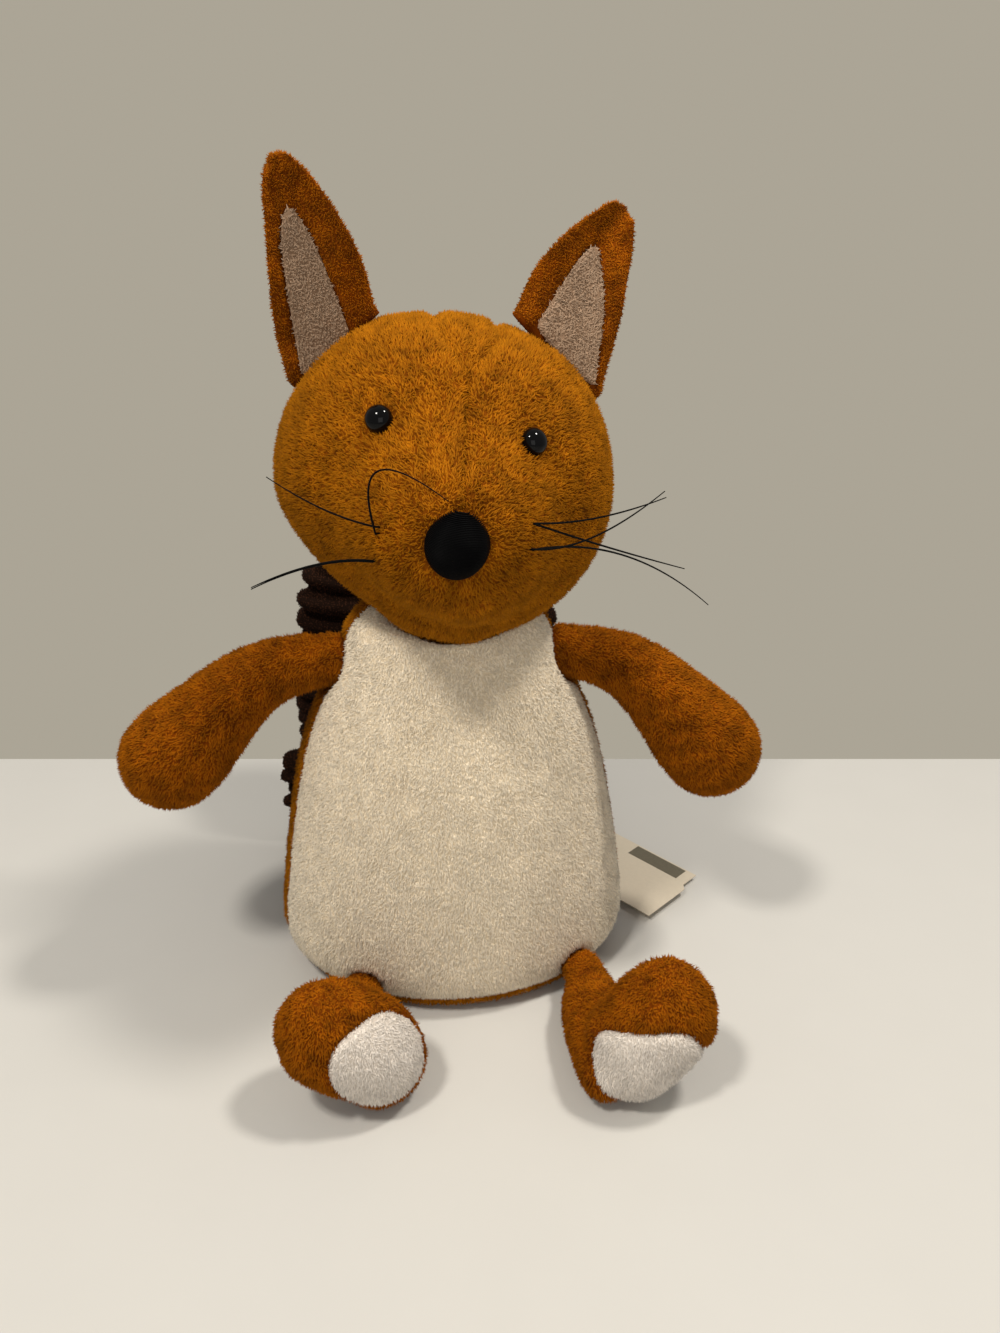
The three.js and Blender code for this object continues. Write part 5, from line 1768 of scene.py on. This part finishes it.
class SQUIRREL_OT_tail(bpy.types.Operator):
    """Make the tail of padded rolls"""

    bl_idname = "squirrel.tail"
    bl_label = "Tail"

    def execute(self, context):
        tail = context.scene.squirrel_tail
        root = np.array(PIVOTS["tail_lean"])
        ahead = tail.standoff + tail.depth / 2
        foot = tail.foot - root[2]
        line = spline([(tail.aside, ahead, foot),
                       (tail.aside, ahead + tail.curl * 0.1, foot + tail.length * 0.4),
                       (tail.aside, ahead + tail.curl * 0.35, foot + tail.length * 0.75),
                       (tail.aside, ahead + tail.curl, foot + tail.length)], 24)
        width = spline([(tail.width * part, rise) for part, rise in TAIL_LOW]
                       + [(tail.top_width * part, rise) for part, rise in TAIL_HIGH], 12)
        draw = np.random.default_rng(7)
        parts = ((np.arange(tail.rolls) + 0.35) / tail.rolls) ** tail.crowd
        steps = np.gradient(parts) * tail.length
        heights = (line[:, 2] - foot) / tail.length
        places, halves, tilts, pitches = [], [], [], []
        bows = tail.bow * smooth_step(parts, 0.35, 0.95)
        for i, part in enumerate(parts):
            spot = np.array([np.interp(part, heights, line[:, k]) for k in range(3)])
            wide = np.interp(part, width[:, 1], width[:, 0])
            deep = tail.depth / 2 * math.sin(math.pi * min(max(part, 0.09), 0.91)) ** 0.5
            uneven = draw.uniform(-1, 1, 2) * tail.uneven
            spot[0] += uneven[0]
            spot[1] += 0.0008 * (-1) ** i
            places.append(spot + root)
            halves.append((wide - abs(uneven[0]) * 0.6, deep + uneven[1] * 0.25,
                           steps[i] * 0.57))
            tilts.append(draw.uniform(-0.03, 0.03))
            pitches.append(draw.uniform(-0.12, 0.12))
        piece = mesh_piece("tail_plush", places, [])
        for name, values in (("half", halves), ("middle", places), ("bow", bows), ("tilt", tilts),
                             ("pitch", pitches)):
            put_values(piece, name, values)
        brown = toned_pile(context, "brown")
        grow(piece, shared_tree("Rolls", roll_tree), Segments=48, Material=brown)
        stations = [(tail.root * math.sin(a), tail.root * math.cos(a), tail.root * math.cos(a))
                    for a in np.linspace(-1.4, 0.6, 12)]
        stations.append((ahead, tail.root * 0.8, tail.root * 0.8))
        way = np.array(((0, 0, 0), (0, ahead * 0.5, 0), (0, ahead, 0))) + root
        stub = tube_rings(stations, way, LEFTWARDS, 24)
        plug = ring_skin("tail_root", stub, root - (0, tail.root, 0), root + (0, ahead, 0))
        angles = circle(48)
        rings = []
        for place, half, bow in zip(places, halves, bows):
            across = tail.core * np.cos(angles)
            rings.append(place + np.stack([half[0] * across, TAIL_CORE_DEPTH * half[1] * np.sin(angles),
                                           bow * across ** 2], 1))
        core = ring_skin("tail_core", rings, places[0], places[-1])
        piece = join("tail_plush", [piece, plug, core])
        remesh(piece, TAIL_VOXEL, 2)
        points = points_of(piece)
        points[:, 2] = np.maximum(points[:, 2], TAIL_FLOOR)
        put_points(piece, points)
        far = lengths(points - root)
        cover = above_floor(points, TAIL_FLOOR, TAIL_CLEAR)
        put_values(piece, "cover", cover * smooth_step(far, tail.root * 0.9, tail.root * 1.3))
        dress(piece, context, "brown", 61)
        fitted(piece, "tail", "brown_rib_plush", "tail_cover", fill=0.6)
        return {"FINISHED"}


# Tag


TAG_COLUMNS = 48
# Shares of the way from the hole to a leaf's edge where its rows of points lie
LEAF_ROWS = (0.15, 0.35, 0.55, 0.7, 0.8, 0.88, 0.94)
# How much shorter the lower leaf is, and how far the upper lies over it
LEAF_SHORT = 0.003
LEAF_RISE = 0.0005
# The printed band: from the free end, from the edge, its length, width and thickness
BAND_INSET = 0.0075
BAND_EDGE = 0.0007
BAND_LENGTH, BAND_WIDTH, BAND_THICKNESS = 0.0245, 0.0068, 0.00006


class SQUIRREL_OT_tag(bpy.types.Operator):
    """Make the bare folded swing tag and its pin"""

    bl_idname = "squirrel.tag"
    bl_label = "Tag and pin"

    def execute(self, context):
        tag, tones = chosen(context, "tag", "colours")
        hole = np.array(PIVOTS["tag_swing"])
        low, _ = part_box("swing_tag")
        card = grained_material("tag card", tones.card, 0.75, 700.0, 0.10, 0.00004, gloss=0.3)
        ink = grained_material("tag band", tones.band, 0.6, 900.0, 0.5, gloss=0.3)
        free, end, half, cut = tag.hole_inset - tag.length, tag.hole_inset, tag.width / 2, tag.cut
        near = tag.shift - half
        under = ((free + LEAF_SHORT, -half), (end, -half), (end, half - tag.shift),
                 (free + LEAF_SHORT, half - tag.shift))
        over = ((free + cut, near), (end, near), (end, half), (free, half), (free, near + cut))
        leaves = [tag_leaf(tag, "leaf_low", under, 0.0, low[2]),
                  tag_leaf(tag, "leaf_high", over, tag.spread, low[2] + LEAF_RISE)]
        place = Matrix.Translation((hole[0], hole[1], 0)) @ Matrix.Rotation(tag.heading, 4, "Z")
        leaves.append(tag_band(tag, free + BAND_INSET, low[2] + tag.leaf))
        band_faces = len(leaves[2].data.polygons)
        piece = join("folded_tag", leaves)
        carry(piece, place)
        outwards(piece)
        shade(piece, False)
        piece.data.materials.append(card)
        piece.data.materials.append(ink)
        count = len(piece.data.polygons)
        number_faces(piece, np.arange(count) >= count - band_faces)
        fitted(piece, "tag", "tag_card", "swing_tag", fill=None)
        repaint(frame["nodes"]["tag_pin"],
                grained_material("pin plastic", tones.plastic, 0.4, 900.0, 0.12, 0.00005))
        return {"FINISHED"}


def tag_leaf(tag, name, corners, spread, height):
    """One leaf of the card round its hole, rising towards its free end."""
    free = tag.hole_inset - tag.length
    angles = circle(TAG_COLUMNS) + math.pi / TAG_COLUMNS
    ways = np.stack([np.cos(angles), np.sin(angles)], 1)
    rim = ways * tag.hole / 2
    reach = np.ones(TAG_COLUMNS)
    for a, b in zip(corners, corners[1:] + corners[:1]):
        out = np.array((b[1] - a[1], a[0] - b[0]))
        towards = np.maximum(ways @ out, 1e-9)
        reach = np.minimum(reach, (out @ np.array(a)) / towards)
    edge = ways * reach[:, None]
    for corner in corners:
        edge[np.argmin(lengths(edge - corner))] = corner
    loops = [rim, *[rim + (edge - rim) * part for part in LEAF_ROWS], edge]
    points, faces = [], []
    for level in (0.0, tag.leaf):
        for loop in loops:
            lift = spread * smooth_step(-loop[:, 0], 0.0, -free)
            points.append(np.column_stack([loop, height + level + lift]))
    rows, count = len(loops), TAG_COLUMNS
    for row in (*range(rows - 1), *range(rows, 2 * rows - 1)):
        faces.extend(strip(row * count, (row + 1) * count, count))
    for row in (0, rows - 1):
        faces.extend(strip(row * count, (rows + row) * count, count))
    return mesh_piece(name, np.vstack(points), faces)


def tag_band(tag, start, height):
    """A plain printed band along the lower leaf's edge."""
    low = np.array((start, BAND_EDGE - tag.width / 2, height - BAND_THICKNESS / 2))
    high = low + (BAND_LENGTH, BAND_WIDTH, BAND_THICKNESS)
    points = [[(low, high)[(i >> k) & 1][k] for k in range(3)] for i in range(8)]
    faces = ((0, 1, 3, 2), (4, 6, 7, 5), (0, 4, 5, 1), (2, 3, 7, 6), (0, 2, 6, 4), (1, 5, 7, 3))
    return mesh_piece("tag_band", points, faces)


# Filling


FIBRE = "fibre_filling"
FILLINGS = (
    ("head_filling", "head", FIBRE), ("body_filling", "torso", FIBRE),
    ("pellet_pouch", "torso", "pouch_cloth"), ("neck_plug", "neck", "rust_plush"),
    *((f"{limb}_filling_{name}", f"{limb}_{name}", FIBRE)
      for limb in ("arm", "leg") for name, _ in SIDES),
    ("tail_filling", "tail", FIBRE),
)
FILLING_VOXEL = 0.003
# Room that a filling leaves under its cover, and how much that differs
FILLING_ROOM = 0.0012
FILLING_LUMPS = 0.0006


class SQUIRREL_OT_filling(bpy.types.Operator):
    """Make the fibre filling, the pellet pouch and the hidden neck"""

    bl_idname = "squirrel.filling"
    bl_label = "Filling"

    def execute(self, context):
        tones = context.scene.squirrel_colours
        fibre = grained_material("fibre", tones.fibre, 0.95, 500.0, 0.25, 0.0004, gloss=0.1)
        cloth = grained_material("pouch cloth", tones.pouch, 0.9, 1800.0, 0.25, 0.0002, gloss=0.2)
        neck = grained_material("neck cloth", tones.rust_tip, 0.9, 900.0, 0.4, 0.0003, gloss=0.2)
        finishes = {FIBRE: fibre, "pouch_cloth": cloth, "rust_plush": neck}
        draw = np.random.default_rng(5)
        for node, body, slot in FILLINGS:
            piece = placed(f"{node}_wadding", frame["nodes"][node].data.copy())
            with reshaped(piece.data) as work:
                bmesh.ops.remove_doubles(work, verts=work.verts, dist=1e-5)
            remesh(piece, FILLING_VOXEL, 3)
            points, normals = points_of(piece), normals_of(piece)
            waves = draw.uniform(60, 220, (6, 3))
            lumps = sum(np.sin(points @ wave + phase) for wave, phase in
                        zip(waves, draw.uniform(0, 6, 6))) / 6
            deep = FILLING_ROOM + FILLING_LUMPS * lumps
            put_points(piece, points - normals * deep[:, None])
            repaint(piece, finishes[slot])
            fitted(piece, body, slot, node, fill=0.6)
        return {"FINISHED"}


# Stage


LAMPS = (
    ("left lamp", (-0.35, -0.40, 0.95), 5.5, 0.12, (1.0, 0.95, 0.88)),
    ("right lamp", (0.40, -0.10, 0.95), 5.0, 0.12, (1.0, 0.95, 0.88)),
    ("front fill", (0.05, -1.05, 0.45), 1.5, 0.60, (1.0, 0.97, 0.93)),
)
# What the lamps point at
LIT_HEIGHT = 0.12
# The table's half width, its near and far edges and its thickness
FLOOR_HALF, FLOOR_NEAR, FLOOR_FAR, FLOOR_THICK = 0.9, -0.75, 0.125, 0.02
FLOOR_GAP = 0.0001
# The camera's place, and how it looks down and aside in degrees
CAMERA_PLACE = (-0.0102, -0.3138, 0.2592)
CAMERA_PITCH = 64.5
CAMERA_HEADING = -5
FOCAL_LENGTH = 28
SENSOR_WIDTH = 36
SKY = (1.0, 0.97, 0.92, 1.0)
SKY_STRENGTH = 0.38


class SQUIRREL_OT_stage(bpy.types.Operator):
    """Make the floor, the light and the camera"""

    bl_idname = "squirrel.stage"
    bl_label = "Stage"

    def execute(self, context):
        tones, scene = context.scene.squirrel_colours, context.scene
        heading = math.radians(CAMERA_HEADING)
        wide, near, far = FLOOR_HALF, FLOOR_NEAR, FLOOR_FAR
        corners = [(x, y, z) for z in (0, -FLOOR_THICK) for x, y in
                   ((-wide, near), (wide, near), (wide, far), (-wide, far))]
        corners = carried(corners, Matrix.Rotation(heading, 4, "Z"))
        faces = ((0, 1, 2, 3), (7, 6, 5, 4), (0, 4, 5, 1), (1, 5, 6, 2), (2, 6, 7, 3), (3, 7, 4, 0))
        floor = mesh_piece("floor", corners - (0, 0, FLOOR_GAP), faces)
        shade(floor, False)
        floor.data.materials.append(
            grained_material("pale floor", tones.floor, 0.4, 40.0, 0.03, gloss=0.3))
        for name, place, power, breadth, tint in LAMPS:
            lamp = bpy.data.lights.new(name, "AREA")
            lamp.energy = power
            lamp.size = breadth
            lamp.color = tint
            light = placed(name, lamp)
            light.location = place
            aim = Vector((0, 0, LIT_HEIGHT)) - Vector(place)
            light.rotation_euler = aim.to_track_quat("-Z", "Y").to_euler()
        backdrop(tones)
        lens = bpy.data.cameras.new("camera")
        lens.lens = FOCAL_LENGTH
        lens.sensor_width = SENSOR_WIDTH
        lens.clip_start = 0.01
        camera = placed("camera", lens)
        camera.location = CAMERA_PLACE
        camera.rotation_euler = Euler((math.radians(CAMERA_PITCH), 0, heading))
        scene.camera = camera
        scene.view_settings.view_transform = "Standard"
        return {"FINISHED"}


def backdrop(tones):
    """An even world light, with a plain wall colour where the camera looks past the floor."""
    world = bpy.data.worlds.new("studio")
    bpy.context.scene.world = world
    world.use_nodes = True
    net = Tree(world.node_tree)
    lit = world.node_tree.nodes["Background"]
    net.feed(lit, Color=SKY, Strength=SKY_STRENGTH)
    shown = net.run("ShaderNodeBackground", Color=(*tones.wall, 1.0))
    seen = net.add("ShaderNodeLightPath").outputs["Is Camera Ray"]
    mixed = net.add("ShaderNodeMixShader")
    for socket, value in zip(mixed.inputs, (seen, lit.outputs[0], shown)):
        net.link(value, socket)
    net.link(mixed.outputs[0], world.node_tree.nodes["World Output"].inputs["Surface"])


# Panel and registration

STEPS = (
    SQUIRREL_OT_stage, SQUIRREL_OT_body, SQUIRREL_OT_head, SQUIRREL_OT_ears, SQUIRREL_OT_face,
    SQUIRREL_OT_whiskers, SQUIRREL_OT_arms, SQUIRREL_OT_legs, SQUIRREL_OT_tail, SQUIRREL_OT_tag,
    SQUIRREL_OT_filling,
)


class SQUIRREL_PT_panel(bpy.types.Panel):
    """Lists the steps that make the squirrel"""

    bl_label = "Plush Squirrel"
    bl_idname = "SQUIRREL_PT_panel"
    bl_space_type = "VIEW_3D"
    bl_region_type = "UI"
    bl_category = "Squirrel"

    def draw(self, context):
        for step in STEPS:
            self.layout.operator(step.bl_idname)


def register():
    for settings in SETTINGS.values():
        bpy.utils.register_class(settings)
    for name, settings in SETTINGS.items():
        setattr(bpy.types.Scene, name, PointerProperty(type=settings))
    for step in STEPS:
        bpy.utils.register_class(step)
    bpy.utils.register_class(SQUIRREL_PT_panel)


def unregister():
    bpy.utils.unregister_class(SQUIRREL_PT_panel)
    for step in reversed(STEPS):
        bpy.utils.unregister_class(step)
    for name in SETTINGS:
        delattr(bpy.types.Scene, name)
    for settings in SETTINGS.values():
        bpy.utils.unregister_class(settings)


def main():
    for leftover in [o for o in bpy.data.objects if o.name in ("Cube", "Light", "Camera")]:
        bpy.data.objects.remove(leftover)
    register()
    for step in STEPS:
        group, name = step.bl_idname.split(".")
        getattr(getattr(bpy.ops, group), name)()


if __name__ == "__main__":
    main()
